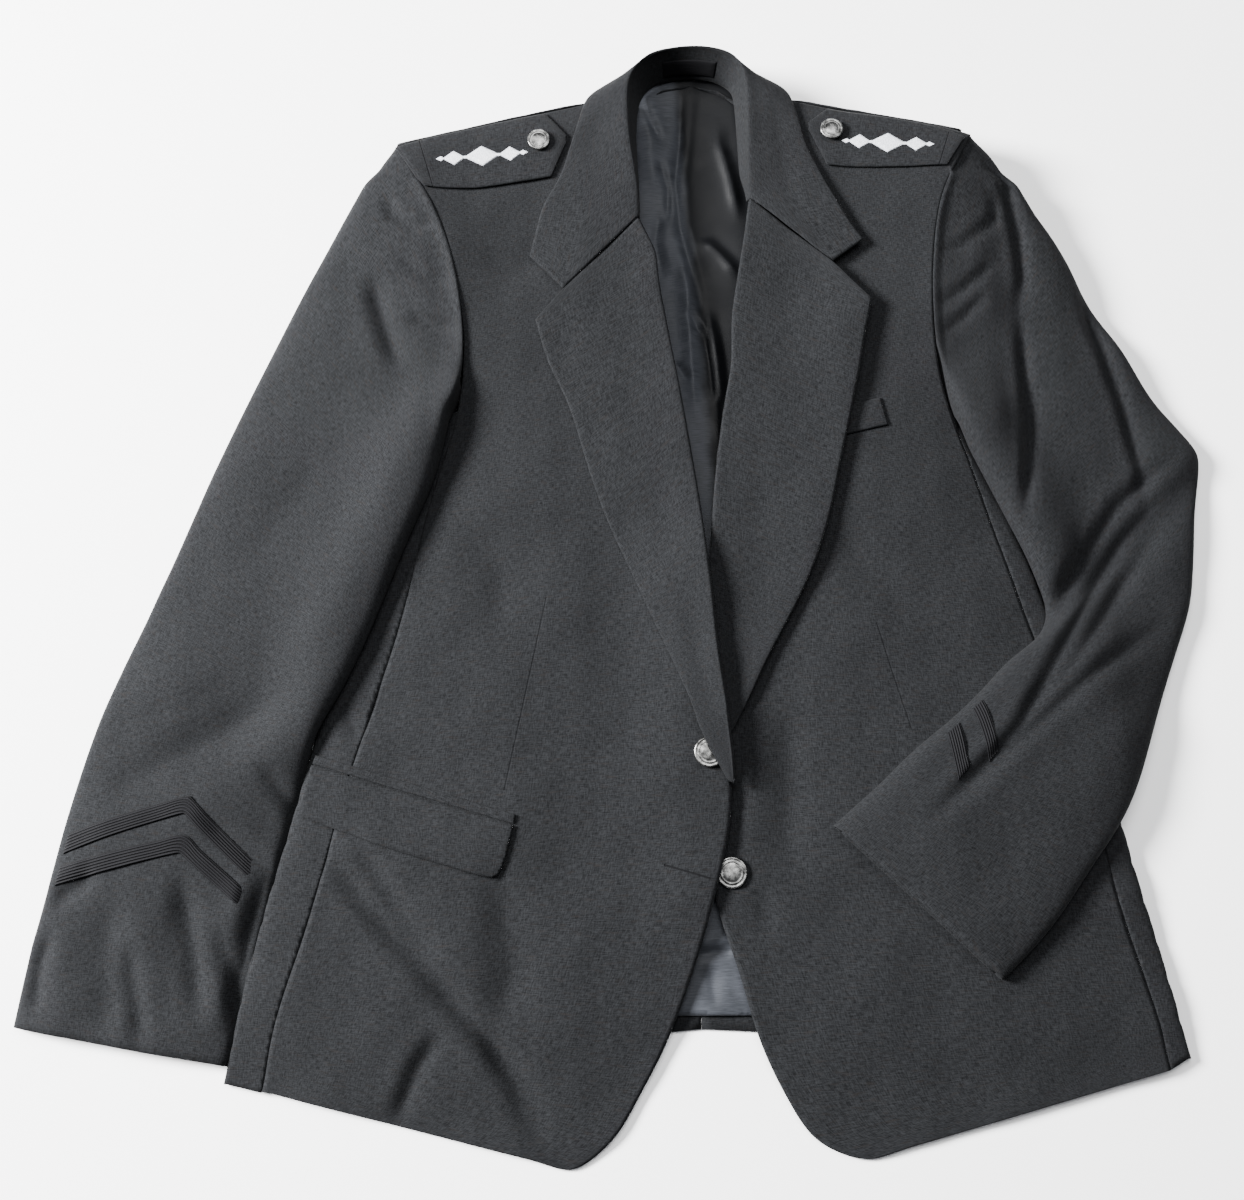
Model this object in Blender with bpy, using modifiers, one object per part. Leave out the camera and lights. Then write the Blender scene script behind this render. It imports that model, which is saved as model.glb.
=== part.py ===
"""A bus driver's uniform jacket, laid flat on its back, with its right sleeve folded across the front.

Every size is in millimetres. Left (-X) and right (+X) are as seen from above, with the collar at the far
end (+Y). The jacket lies on the plane z = 0.
"""

import math
from collections import namedtuple

import bmesh
import bpy
from mathutils import Vector

MM = 0.001

# Walls of cloth, and the gaps between pieces
CLOTH = 2.0
LINING_CLOTH = 1.2
TAPE = 1.0
SEAM = 0.3
CLEAR = 1.0
ARMHOLE_GAP = 0.7
SIDE_GAP = 0.6
RISE_GAP = 0.6
UNDER_GAP = 1.4

# The body from hem to shoulder, a row for each height: the outer edges, the height of the cloth's top at
# the edge, half way in and at the centre, how far the left front is held up over the right one, the seams
# that join the fronts to the side bodies and then to the sleeves, and how far the sides turn under
Body = namedtuple("Body", "y left right edge mid centre lap seam_left seam_right under")
BODY = [
    Body(-400, -287, 408, 3.0, 3.0, 2.4, 0.0, -253, 386, 38),
    Body(-343, -273, 395, 4.8, 6.5, 4.2, 0.0, -245, 377, 38),
    Body(-300, -267, 386, 8.0, 11.0, 8.0, 0.5, -238, 369, 38),
    Body(-253, -257, 376, 9.4, 13.2, 9.6, 2.5, -224, 356, 38),
    Body(-220, -250, 368, 10.2, 14.0, 10.4, 5.5, -215, 347, 38),
    Body(-190, -242, 361, 10.8, 14.6, 10.9, 6.5, -208, 341, 38),
    Body(-141, -230, 351, 11.6, 15.5, 11.8, 7.0, -196, 330, 38),
    Body(-91, -218, 340, 12.4, 16.2, 12.8, 7.6, -181, 317, 38),
    Body(-25, -198, 319, 13.4, 17.4, 14.2, 8.0, -162, 297, 36),
    Body(20, -182, 304, 14.2, 18.8, 16.0, 7.6, -152, 283, 32),
    Body(60, -168, 290, 15.4, 20.4, 17.6, 4.0, -144, 271, 26),
    Body(94, -153, 276, 16.5, 22.0, 19.2, 1.6, -136, 261, 18),
    Body(130, -138, 259, 19.0, 24.0, 21.5, 0.0, -125, 249, 10),
    Body(165, -121, 244, 26.0, 26.5, 24.0, 0.0, -119.5, 239, 4),
    Body(200, -119, 235, 32.0, 29.0, 26.0, 0.0, -119, 234.5, 0),
    Body(247, -126, 235, 38.0, 32.0, 29.0, 0.0, -126, 234.5, 0),
    Body(286, -138, 239, 41.0, 35.0, 31.5, 0.0, -138, 239, 0),
    Body(314, -152, 246, 43.0, 37.0, 33.0, 0.0, -152, 246, 0),
    Body(348, -175, 264, 45.0, 39.0, 36.0, 0.0, -175, 264, 0),
    Body(400, -206, 300, 46.0, 39.0, 36.0, 0.0, -206, 300, 0),
]

# The top of the shoulders and the back of the neck, where front and back meet
Crest = namedtuple("Crest", "x y")
CREST = [
    Crest(-200, 338),
    Crest(-176, 348),
    Crest(-141, 360),
    Crest(-95, 373),
    Crest(-56, 383),
    Crest(-23, 391),
    Crest(3, 396),
    Crest(13, 400),
    Crest(20, 407),
    Crest(30, 415),
    Crest(53, 420),
    Crest(76, 415),
    Crest(86, 407),
    Crest(93, 400),
    Crest(102, 396),
    Crest(129, 393),
    Crest(162, 386),
    Crest(216, 375),
    Crest(254, 365),
    Crest(276, 356),
    Crest(300, 344),
]
NECK_LEFT = 3.0
NECK_RIGHT = 102.0
NECK_BACK = 11.0
NECK_DIP = (-12.0, 8.0)
SHOULDER_FALL = 4.0
SHOULDER_ROUND = 28.0
BACK_BULGE = 10.0
BACK_TUCK = 3.0
FULL_BULGE = 34.0
CENTRE_BACK = 55.0


def smooth(stations, values, at, corners=()):
    """A line through the values at rising stations: rounded at each, but for the corners."""
    last = len(stations) - 1
    k = 0
    while k < last - 1 and at > stations[k + 1]:
        k += 1
    rise = [(values[j + 1] - values[j]) / (stations[j + 1] - stations[j]) for j in range(last)]

    def slope(j, own):
        if j == 0 or j == last or j in corners:
            return rise[own]
        return (values[j + 1] - values[j - 1]) / (stations[j + 1] - stations[j - 1])

    span = stations[k + 1] - stations[k]
    u = min(1.0, max(0.0, (at - stations[k]) / span))
    beyond = at - stations[k] - u * span
    start = (1 + 2 * u) * (1 - u) ** 2 * values[k] + u * (1 - u) ** 2 * span * slope(k, k)
    end = u * u * (3 - 2 * u) * values[k + 1] + u * u * (u - 1) * span * slope(k + 1, k)
    return start + end + beyond * rise[k]


def read(table, column, at):
    """One column of a table, at a value of its first column."""
    stations = [row[0] for row in table]
    return smooth(stations, [getattr(row, column) for row in table], at)


def between(table, at, corners=()):
    """A row of a table at a fractional place between its rows."""
    stations = list(range(len(table)))
    values = [smooth(stations, column, at, corners) for column in zip(*table)]
    return type(table[0])(*values)


def ramp(value, low, high):
    """Goes smoothly from 0 at low to 1 at high."""
    u = min(1.0, max(0.0, (value - low) / (high - low)))
    return u * u * (3 - 2 * u)


def mix(a, b, share):
    return a + (b - a) * share


def steps(low, high, count):
    """Evenly spaced values from low to high, in so many steps."""
    return [mix(low, high, k / count) for k in range(count + 1)]


def crest_y(x):
    return read(CREST, "y", x)


# Soft folds: a line in plan, half its width, and its height, below zero for a trough
Fold = namedtuple("Fold", "x0 y0 x1 y1 width height")
BODY_FOLDS = [
    Fold(-205, -185, -150, -262, 15, -3.2),
    Fold(-150, -262, -112, -310, 15, -3.4),
    Fold(-185, -170, -105, -275, 13, 2.0),
    Fold(-140, -250, -95, -292, 9, -2.0),
    Fold(-52, -208, -78, -320, 17, -2.4),
    Fold(122, -85, 122, -210, 16, -2.2),
    Fold(-178, -70, -165, -100, 12, -1.8),
]
LEFT_SLEEVE_FOLDS = [
    Fold(-235, -55, -315, -128, 17, -4.0),
    Fold(-345, -100, -390, -140, 12, -2.6),
    Fold(-210, 268, -186, 172, 9, -2.4),
    Fold(-184, 296, -146, 284, 8, -2.2),
    Fold(-158, 252, -128, 240, 9, -2.4),
    Fold(-150, 215, -124, 205, 8, -2.0),
    Fold(-300, -205, -275, -275, 14, -2.4),
    Fold(-352, -205, -372, -255, 12, -2.0),
    Fold(-262, -150, -255, -175, 10, -2.0),
]
RIGHT_SLEEVE_FOLDS = [
    Fold(290, 330, 302, 215, 12, -4.5),
    Fold(302, 215, 297, 60, 12, -3.0),
    Fold(352, 225, 372, 130, 11, -2.6),
    Fold(372, 130, 398, 72, 11, -2.2),
    Fold(275, 300, 243, 272, 7, -2.4),
    Fold(296, 262, 244, 240, 7, -2.0),
    Fold(402, 52, 318, -50, 9, -2.4),
    Fold(318, -50, 205, -160, 8, -1.8),
    Fold(395, -50, 260, -150, 9, -2.0),
]


def fold_height(folds, x, y):
    """How far the soft folds raise the cloth at a place in plan."""
    height = 0.0
    for fold in folds:
        along_x = fold.x1 - fold.x0
        along_y = fold.y1 - fold.y0
        length = math.hypot(along_x, along_y)
        share = ((x - fold.x0) * along_x + (y - fold.y0) * along_y) / length**2
        off = ((x - fold.x0) * along_y - (y - fold.y0) * along_x) / length
        ends = ramp(share, -0.15, 0.2) * ramp(-share, -1.15, -0.8)
        height += fold.height * ends * math.exp(-((off / fold.width) ** 2))
    return height


HALF_WAY = 0.45


def body_height(x, y):
    """Height of the fronts' top face over the table."""
    left = read(BODY, "left", y)
    right = read(BODY, "right", y)
    inward = min(x - left, right - x) / ((right - left) / 2)
    inward = max(0.0, inward)
    edge = read(BODY, "edge", y)
    mid = read(BODY, "mid", y)
    if inward < HALF_WAY:
        height = mix(edge, mid, math.sin(math.pi / 2 * inward / HALF_WAY))
    else:
        height = mix(mid, read(BODY, "centre", y), ramp(inward, HALF_WAY, 1.0))
    to_crest = max(0.0, crest_y(x) - y)
    height -= SHOULDER_FALL * max(0.0, 1 - to_crest / SHOULDER_ROUND) ** 2
    return height + fold_height(BODY_FOLDS, x, y)


LAP_START = -5.0
LAP_END = 48.0


def left_height(x, y):
    """Height of the left front's top face, which rises where it laps over the right front."""
    return body_height(x, y) + read(BODY, "lap", y) * ramp(x, LAP_START, LAP_END)


def crest_height(x):
    """Height of the shoulder seam, which dips to the back of the neck."""
    height = body_height(x, crest_y(x))
    into_neck = min(x - NECK_LEFT, NECK_RIGHT - x)
    return mix(height, NECK_BACK, ramp(into_neck, *NECK_DIP))


Finish = namedtuple("Finish", "colour roughness metallic")
WORSTED = Finish((0.060, 0.061, 0.064), 0.9, 0.0)
WORSTED_UNDER = Finish((0.052, 0.053, 0.056), 0.9, 0.0)
SATIN = Finish((0.075, 0.078, 0.085), 0.45, 0.0)
BRAID_TAPE = Finish((0.035, 0.035, 0.038), 0.7, 0.0)
BLACK_TAPE = Finish((0.012, 0.012, 0.013), 0.6, 0.0)
SILVER = Finish((0.62, 0.62, 0.60), 0.35, 1.0)

for old in list(bpy.data.objects):
    bpy.data.objects.remove(old, do_unlink=True)

jacket = bpy.data.collections.new("bus_driver_jacket")
bpy.context.scene.collection.children.link(jacket)


def finish_of(name, finish):
    material = bpy.data.materials.new(name)
    material.use_nodes = True
    shader = material.node_tree.nodes["Principled BSDF"]
    shader.inputs["Base Color"].default_value = (*finish.colour, 1.0)
    shader.inputs["Roughness"].default_value = finish.roughness
    shader.inputs["Metallic"].default_value = finish.metallic
    return material


def piece(name, mesh, finish):
    """An object of the jacket, with a material of its own."""
    made = bpy.data.objects.new(name, mesh)
    mesh.materials.append(finish_of(name, finish))
    jacket.objects.link(made)
    return made


def sheet(name, lines, wall, finish, outer="up"):
    """A wall of cloth whose outer face is a net of points, given as lines of equal length.

    The outer face looks up or down on the whole, or else away from the middle of the piece, around it.
    """
    bm = bmesh.new()
    bmesh.ops.create_grid(bm, x_segments=len(lines[0]) - 1, y_segments=len(lines) - 1, size=1.0)
    for vert, point in zip(bm.verts, (point for line in lines for point in line)):
        vert.co = Vector(point) * MM
    bm.normal_update()
    middle = sum((vert.co for vert in bm.verts), Vector()) / len(bm.verts)
    facing = 0.0
    for face in bm.faces:
        aim = face.calc_center_median() - middle if outer == "around" else Vector((0, 0, 1))
        facing += face.normal.dot(aim) * face.calc_area()
    if outer == "down":
        facing = -facing
    if facing < 0:
        bmesh.ops.reverse_faces(bm, faces=bm.faces)
    mesh = bpy.data.meshes.new(name)
    bm.to_mesh(mesh)
    bm.free()
    mesh.shade_smooth()
    made = piece(name, mesh, finish)
    thickness = made.modifiers.new("wall", "SOLIDIFY")
    thickness.thickness = wall * MM
    thickness.offset = -1.0
    return made


# Fronts: each row runs from the armhole or side seam to the roll of the lapel or the front edge
Front = namedtuple("Front", "outer_y inner_x inner_y")
LEFT_FRONT = [
    Front(347, -1, 396),
    Front(331, -2, 380),
    Front(311, -1, 357),
    Front(286, 3, 326),
    Front(247, 8, 287),
    Front(205, 20, 250),
    Front(168, 28, 205),
    Front(128, 37, 160),
    Front(85, 45, 112),
    Front(30, 53, 55),
    Front(-20, 60, 0),
    Front(-70, 66, -50),
    Front(-112, 71, -95),
    Front(-145, 77, -132),
    Front(-180, 76, -165),
    Front(-215, 69, -200),
    Front(-253, 54, -253),
    Front(-290, 33, -310),
    Front(-320, 13, -348),
    Front(-338, -8, -381),
    Front(-347, -35, -398),
]
RIGHT_FRONT = [
    Front(355, 104, 396),
    Front(340, 102, 380),
    Front(325, 101, 357),
    Front(303, 101, 330),
    Front(268, 101, 296),
    Front(232, 96, 255),
    Front(195, 90, 212),
    Front(160, 87, 175),
    Front(110, 80, 122),
    Front(50, 72, 55),
    Front(-15, 66, -10),
    Front(-80, 62, -75),
    Front(-138, 61, -135),
    Front(-190, 62, -188),
    Front(-236, 67, -225),
    Front(-268, 80, -264),
    Front(-300, 94, -311),
    Front(-318, 112, -350),
    Front(-327, 135, -381),
    Front(-333, 168, -391),
]
FRONT_COLUMNS = 10
FRONT_ROWS = 30


def front_point(table, seam, height, at, across):
    """A point of a front: at is the place between the rows, across goes from the outer seam to the edge."""
    row = between(table, at)
    outer_x = read(BODY, seam, row.outer_y)
    x = mix(outer_x, row.inner_x, across)
    y = mix(row.outer_y, row.inner_y, across)
    top = table[0]
    top_chord = mix(top.outer_y, top.inner_y, across)
    y += (crest_y(x) - SEAM - top_chord) * max(0.0, 1 - at)
    return Vector((x, y, height(x, y)))


def make_front(name, table, seam, height):
    places = steps(0, len(table) - 1, FRONT_ROWS)
    lines = [
        [front_point(table, seam, height, at, across) for across in steps(0, 1, FRONT_COLUMNS)]
        for at in places
    ]
    sheet(name, lines, CLOTH, WORSTED)


make_front("front_left", LEFT_FRONT, "seam_left", left_height)
make_front("front_right", RIGHT_FRONT, "seam_right", body_height)

# Side bodies: each turns from the back seam under the jacket, round its edge, to the front seam
SIDE_TOP_LEFT = 126.0
SIDE_TOP_RIGHT = 127.0
SIDE_ROWS = 17
SIDE_TOP_COLUMNS = 2
HEM_LEFT = -342.0
HEM_RIGHT = -325.0
HEM_FALL_LEFT = 0.2
HEM_FALL_RIGHT = 0.42
HEM_SLANT_UNDER = 0.12
HEM_SLANT_FROM = 60.0


def side_line(y, hem, fall, edge, seam, inward):
    """One section of a side body; inward is 1 on the left and -1 on the right."""
    edge_x = read(BODY, edge, y)
    under = read(BODY, "under", y)
    turn = read(BODY, "edge", y) / 2
    slant = 1 - ramp(y, hem, hem + HEM_SLANT_FROM)
    seam_y = y - slant * fall * abs(read(BODY, seam, y) - edge_x)
    seam_x = read(BODY, seam, seam_y) - inward * SIDE_GAP
    line = []
    for share in (1.0, 0.5):
        off = turn + under * share
        line.append(Vector((edge_x + inward * off, y + slant * HEM_SLANT_UNDER * off, 0.0)))
    for angle in steps(-90, 90, 4):
        out = turn * (1 - math.cos(math.radians(angle)))
        height = turn * (1 + math.sin(math.radians(angle)))
        line.append(Vector((edge_x + inward * out, y, height)))
    for share in steps(0, 1, SIDE_TOP_COLUMNS)[1:]:
        x = mix(edge_x + inward * turn, seam_x, share)
        top_y = mix(y, seam_y, share)
        line.append(Vector((x, top_y, body_height(x, top_y))))
    return line


def make_side(name, top, hem, fall, edge, seam, inward):
    lines = [side_line(y, hem, fall, edge, seam, inward) for y in steps(top, hem, SIDE_ROWS)]
    sheet(name, lines, CLOTH, WORSTED, outer="around")


make_side("side_left", SIDE_TOP_LEFT, HEM_LEFT, HEM_FALL_LEFT, "left", "seam_left", 1)
make_side("side_right", SIDE_TOP_RIGHT, HEM_RIGHT, HEM_FALL_RIGHT, "right", "seam_right", -1)

# Back: two panels flat on the table, which rise behind the shoulders to the crest
Back = namedtuple("Back", "outer_y centre_y")
LEFT_BACK = [
    Back(-335, -306),
    Back(-310, -287),
    Back(-270, -255),
    Back(-220, -210),
    Back(-170, -165),
    Back(-120, -115),
    Back(-70, -65),
    Back(-20, -15),
    Back(25, 30),
    Back(60, 70),
    Back(92, 100),
    Back(120, 130),
    Back(145, 165),
    Back(168, 195),
    Back(192, 222),
    Back(216, 250),
    Back(239, 278),
    Back(262, 305),
    Back(285, 330),
    Back(308, 355),
    Back(326, 375),
]
RIGHT_BACK = [
    Back(-319, -306),
    Back(-300, -287),
    Back(-265, -255),
    Back(-218, -210),
    Back(-170, -165),
    Back(-120, -115),
    Back(-70, -65),
    Back(-20, -15),
    Back(25, 30),
    Back(62, 70),
    Back(95, 100),
    Back(127, 130),
    Back(155, 165),
    Back(178, 195),
    Back(202, 222),
    Back(226, 250),
    Back(250, 278),
    Back(273, 305),
    Back(295, 330),
    Back(316, 355),
    Back(333, 375),
]
BACK_COLUMNS = (0.0, 0.22, 0.43, 0.6, 0.74, 0.82, 0.9, 1.0)
# How the back rises: distance past the crest, and share of the crest's height
Rise = namedtuple("Rise", "past share")
BACK_RISE = [
    Rise(-6, 0.0),
    Rise(2, 0.05),
    Rise(7.5, 0.2),
    Rise(BACK_BULGE, 0.5),
    Rise(8.0, 0.8),
    Rise(2.0, 1.0),
]


def back_outline(y, edge, seam, inward):
    """The outer edge of a back panel: the seam under the side body, then the armhole."""
    turn = read(BODY, "edge", y) / 2
    below = read(BODY, edge, y) + inward * (turn + read(BODY, "under", y) + SIDE_GAP)
    above = read(BODY, seam, y) + inward * 2 * ARMHOLE_GAP
    return mix(below, above, ramp(y, 128, 200)) + inward * BACK_TUCK * ramp(y, 290, 330)


def make_back(name, table, edge, seam, inward):
    centre = CENTRE_BACK - inward * SEAM / 2
    lines = []
    for row in table:
        outer_x = back_outline(row.outer_y, edge, seam, inward)
        line = []
        for across in BACK_COLUMNS:
            line.append(Vector((mix(outer_x, centre, across), mix(row.outer_y, row.centre_y, across), 0)))
        lines.append(line)
    centre -= inward * RISE_GAP
    shoulder_x = read(BODY, seam, 347) + inward * 2 * ARMHOLE_GAP
    for rise in BACK_RISE:
        line = []
        for across in BACK_COLUMNS:
            x = mix(shoulder_x, centre, across)
            height = crest_height(x)
            past = rise.past * min(1.0, height / FULL_BULGE)
            line.append(Vector((x, crest_y(x) + past, rise.share * height)))
        lines.append(line)
    sheet(name, lines, CLOTH, WORSTED_UNDER, outer="down")


make_back("back_left", LEFT_BACK, "left", "seam_left", 1)
make_back("back_right", RIGHT_BACK, "right", "seam_right", -1)

# Lapels: each row runs from the outer edge to the roll, with heights over the front's top face
Lapel = namedtuple("Lapel", "outer_x outer_y roll_x roll_y outer_lift mid_lift roll_lift")
LEFT_LAPEL = [
    Lapel(-45, 232, 12, 290, 4.6, 5.0, 7.4),
    Lapel(-65, 209, 24, 263, 3.6, 4.4, 7.4),
    Lapel(-55, 176, 28, 232, 3.2, 4.0, 7.4),
    Lapel(-39, 141, 35, 193, 3.0, 3.8, 7.4),
    Lapel(-24, 92, 43, 150, 3.0, 3.8, 7.4),
    Lapel(-11, 56, 50, 108, 3.0, 3.8, 7.4),
    Lapel(4, 22, 57, 60, 3.0, 3.8, 7.4),
    Lapel(24, -23, 64, 0, 3.0, 3.8, 7.4),
    Lapel(38, -54, 68, -42, 3.4, 4.2, 7.4),
    Lapel(49, -80, 73, -76, 5.4, 5.8, 7.6),
    Lapel(55, -99, 75.5, -100, 7.4, 7.6, 8.0),
    Lapel(64, -118, 77.5, -120, 7.6, 7.8, 7.6),
    Lapel(75, -137, 78.5, -138, 4.6, 4.8, 4.6),
]
RIGHT_LAPEL = [
    Lapel(160, 252, 98, 305, 8.5, 5.5, 7.4),
    Lapel(187, 223, 94, 275, 9.5, 5.0, 7.4),
    Lapel(181, 193, 89, 245, 9.0, 5.0, 7.4),
    Lapel(176, 165, 84, 210, 8.6, 5.0, 7.4),
    Lapel(169, 133, 83, 175, 8.0, 5.0, 7.4),
    Lapel(161, 98, 77, 140, 7.4, 5.0, 7.4),
    Lapel(153, 62, 71, 95, 7.0, 5.0, 7.4),
    Lapel(141, 24, 67, 50, 6.6, 4.8, 7.0),
    Lapel(125, -10, 64, 8, 6.4, 4.4, 4.6),
    Lapel(106, -45, 63, -32, 6.0, 4.0, 3.6),
    Lapel(93, -72, 62.5, -64, 5.6, 3.8, 3.4),
    Lapel(84, -90, 62.5, -86, 5.0, 3.6, 3.2),
    Lapel(75, -106, 62.5, -104, 4.0, 3.4, 3.0),
    Lapel(67, -118, 62.5, -117, 3.2, 3.0, 2.8),
]
LAPEL_CORNER = 1
LAPEL_ROW_STEPS = 2
LAPEL_COLUMNS = (0.0, 0.15, 0.35, 0.58, 0.8, 0.93)
ROLL_TURN = ((1.0, 0.0), (1.0, -2.6), (1.0, -6.5))
ROLL_OUT = (0.0, 1.4, 1.2)


def lapel_point(table, height, at, across, lift=0.0):
    row = between(table, at, corners=(LAPEL_CORNER,))
    x = mix(row.outer_x, row.roll_x, across)
    y = mix(row.outer_y, row.roll_y, across)
    rise = mix(mix(row.outer_lift, row.mid_lift, ramp(across, 0, 0.5)), row.roll_lift, ramp(across, 0.5, 1))
    return Vector((x, y, height(x, y) + rise + lift))


def make_lapel(name, table, height, outward):
    """The facing turned back over the front; outward is 1 where the roll faces right."""
    lines = []
    for at in steps(0, len(table) - 1, (len(table) - 1) * LAPEL_ROW_STEPS):
        line = [lapel_point(table, height, at, across) for across in LAPEL_COLUMNS]
        row = between(table, at, corners=(LAPEL_CORNER,))
        depth = min(1.0, (row.roll_lift - CLOTH) / 6.5)
        for (across, fall), out in zip(ROLL_TURN, ROLL_OUT):
            point = lapel_point(table, height, at, across, fall * depth)
            point.x += outward * out
            line.append(point)
        lines.append(line)
    sheet(name, lines, CLOTH, WORSTED)


make_lapel("lapel_left", LEFT_LAPEL, left_height, 1)
make_lapel("lapel_right", RIGHT_LAPEL, body_height, -1)

# Collar: rows go round the neck from the left point to the right one, each from the outer edge of the
# fall over the roll and down inside to the foot of the stand
Collar = namedtuple(
    "Collar", "outer_x outer_y outer_z mid_x mid_y mid_z roll_x roll_y roll_z foot_x foot_y foot_z"
)
COLLAR = [
    Collar(-70, 260, 37.5, -44.5, 233, 36.0, 12, 291, 40.0, 14, 292, 31),
    Collar(-65, 281, 38.5, -34, 272, 38.5, 11, 312, 41.5, 14, 313, 27),
    Collar(-59, 302, 39.5, -27, 307, 40.5, 8, 336, 42.5, 13, 337, 22),
    Collar(-48, 322, 40.5, -23, 335, 41.5, 5, 360, 43.5, 12, 360, 20),
    Collar(-41, 345, 41.0, -20, 361, 42.0, 4, 382, 44.0, 12, 381, 19),
    Collar(-34, 370, 41.0, -15, 385, 42.5, 5, 402, 44.0, 14, 399, 16.5),
    Collar(-26, 396, 36.0, -7, 404, 41.0, 11, 416, 44.0, 19, 411, 14),
    Collar(-4, 416, 25.0, 9, 420, 36.0, 22, 427, 44.0, 27, 418.5, 12.8),
    Collar(22, 434, 13.0, 30, 434, 30.0, 36, 432, 44.0, 38, 422.5, 12.6),
    Collar(53, 441, 9.0, 53, 440, 28.0, 53, 434, 44.0, 53, 424, 12.6),
    Collar(84, 434, 13.0, 76, 434, 30.0, 70, 432, 44.0, 68, 422.5, 12.6),
    Collar(110, 417, 25.0, 97, 420, 36.0, 84, 427, 44.0, 79, 418.5, 12.8),
    Collar(128, 400, 36.0, 110, 406, 41.0, 92, 417, 44.0, 86, 411, 14),
    Collar(135, 377, 41.5, 118, 388, 42.5, 96, 402, 44.0, 88, 399, 16.5),
    Collar(141, 352, 42.5, 120, 364, 42.0, 97, 380, 44.0, 89, 380, 19),
    Collar(150, 330, 42.5, 124, 336, 41.5, 97, 356, 43.5, 90, 356, 20),
    Collar(162, 306, 42.0, 130, 309, 40.5, 97, 334, 42.5, 91, 334, 23),
    Collar(172, 287, 42.0, 142, 282, 40.0, 98, 318, 41.0, 94, 318, 28),
    Collar(182, 271, 42.5, 158.8, 254.2, 39.5, 98, 307, 39.6, 95, 308, 31),
]
COLLAR_ROWS = 27
FALL_COLUMNS = (0.0, 0.33, 0.67, 1.0)
STAND_COLUMNS = (0.15, 0.45, 0.72, 1.0)
ROLL_CROWN = 1.2


def collar_points(at):
    """The outer edge, middle, roll and foot of the collar at a place round the neck."""
    row = between(COLLAR, at)
    outer = Vector((row.outer_x, row.outer_y, row.outer_z))
    mid = Vector((row.mid_x, row.mid_y, row.mid_z))
    roll = Vector((row.roll_x, row.roll_y, row.roll_z))
    foot = Vector((row.foot_x, row.foot_y, row.foot_z))
    return outer, mid, roll, foot


lines = []
for at in steps(0, len(COLLAR) - 1, COLLAR_ROWS):
    outer, mid, roll, foot = collar_points(at)
    line = [outer.lerp(mid, across) for across in FALL_COLUMNS[:-1]]
    line += [mid.lerp(roll, across) + Vector((0, 0, ROLL_CROWN * across)) for across in FALL_COLUMNS]
    line += [roll.lerp(foot, across) for across in STAND_COLUMNS]
    lines.append(line)
sheet("collar", lines, CLOTH, WORSTED)

# Neck tape: a bare strip on the inside of the stand
NECK_TAPE_FROM = 8.05
NECK_TAPE_TO = 9.95
lines = []
for at in steps(NECK_TAPE_FROM, NECK_TAPE_TO, 6):
    outer, mid, roll, foot = collar_points(at)
    line = []
    for down in steps(0.34, 0.8, 2):
        line.append(roll.lerp(foot, down) + Vector((0, -0.9 * (SEAM + TAPE) - 0.5, -0.6)))
    lines.append(line)
sheet("neck_tape", lines, TAPE, BLACK_TAPE)

# Lining: a satin strip from the neck to the hem, with a pleat down its middle
Lining = namedtuple("Lining", "y left pleat right height fold")
LINING = [
    Lining(-297, 18, 58, 112, 3.6, 0.0),
    Lining(-255, 24, 62, 108, 4.2, 1.6),
    Lining(-200, 38, 66, 104, 3.9, 0.0),
    Lining(-100, 36, 68, 104, 3.9, 0.0),
    Lining(0, 34, 72, 104, 4.0, 0.5),
    Lining(60, 32, 74, 108, 4.4, 2.0),
    Lining(120, 26, 74, 112, 5.0, 3.6),
    Lining(180, 16, 69, 114, 5.2, 4.2),
    Lining(240, 4, 58, 114, 5.4, 4.6),
    Lining(290, -8, 46, 114, 5.6, 4.6),
    Lining(340, -12, 46, 114, 5.8, 4.6),
    Lining(378, -8, 50, 112, 5.8, 4.4),
    Lining(396, 10, 52, 96, 6.2, 3.6),
    Lining(406, 21, 53, 85, 6.6, 2.8),
    Lining(413, 31, 53, 75, 7.0, 2.2),
]
LINING_ROWS = 20
PLEAT_OVER = 4.0
BEFORE_PLEAT = ((0.0, 0.0), (0.3, 0.05), (0.6, 0.3), (0.82, 0.7), (1.0, 1.0))
AFTER_PLEAT = (0.0, 0.33, 0.66, 1.0)
lines = []
for at in steps(0, len(LINING) - 1, LINING_ROWS):
    row = between(LINING, at)
    line = []
    for across, share in BEFORE_PLEAT:
        line.append(Vector((mix(row.left, row.pleat, across), row.y, row.height + share * row.fold)))
    for across in AFTER_PLEAT:
        x = mix(row.pleat + PLEAT_OVER, row.right, across)
        line.append(Vector((x, row.y, row.height)))
    lines.append(line)
sheet("lining_back", lines, LINING_CLOTH, SATIN)

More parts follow.
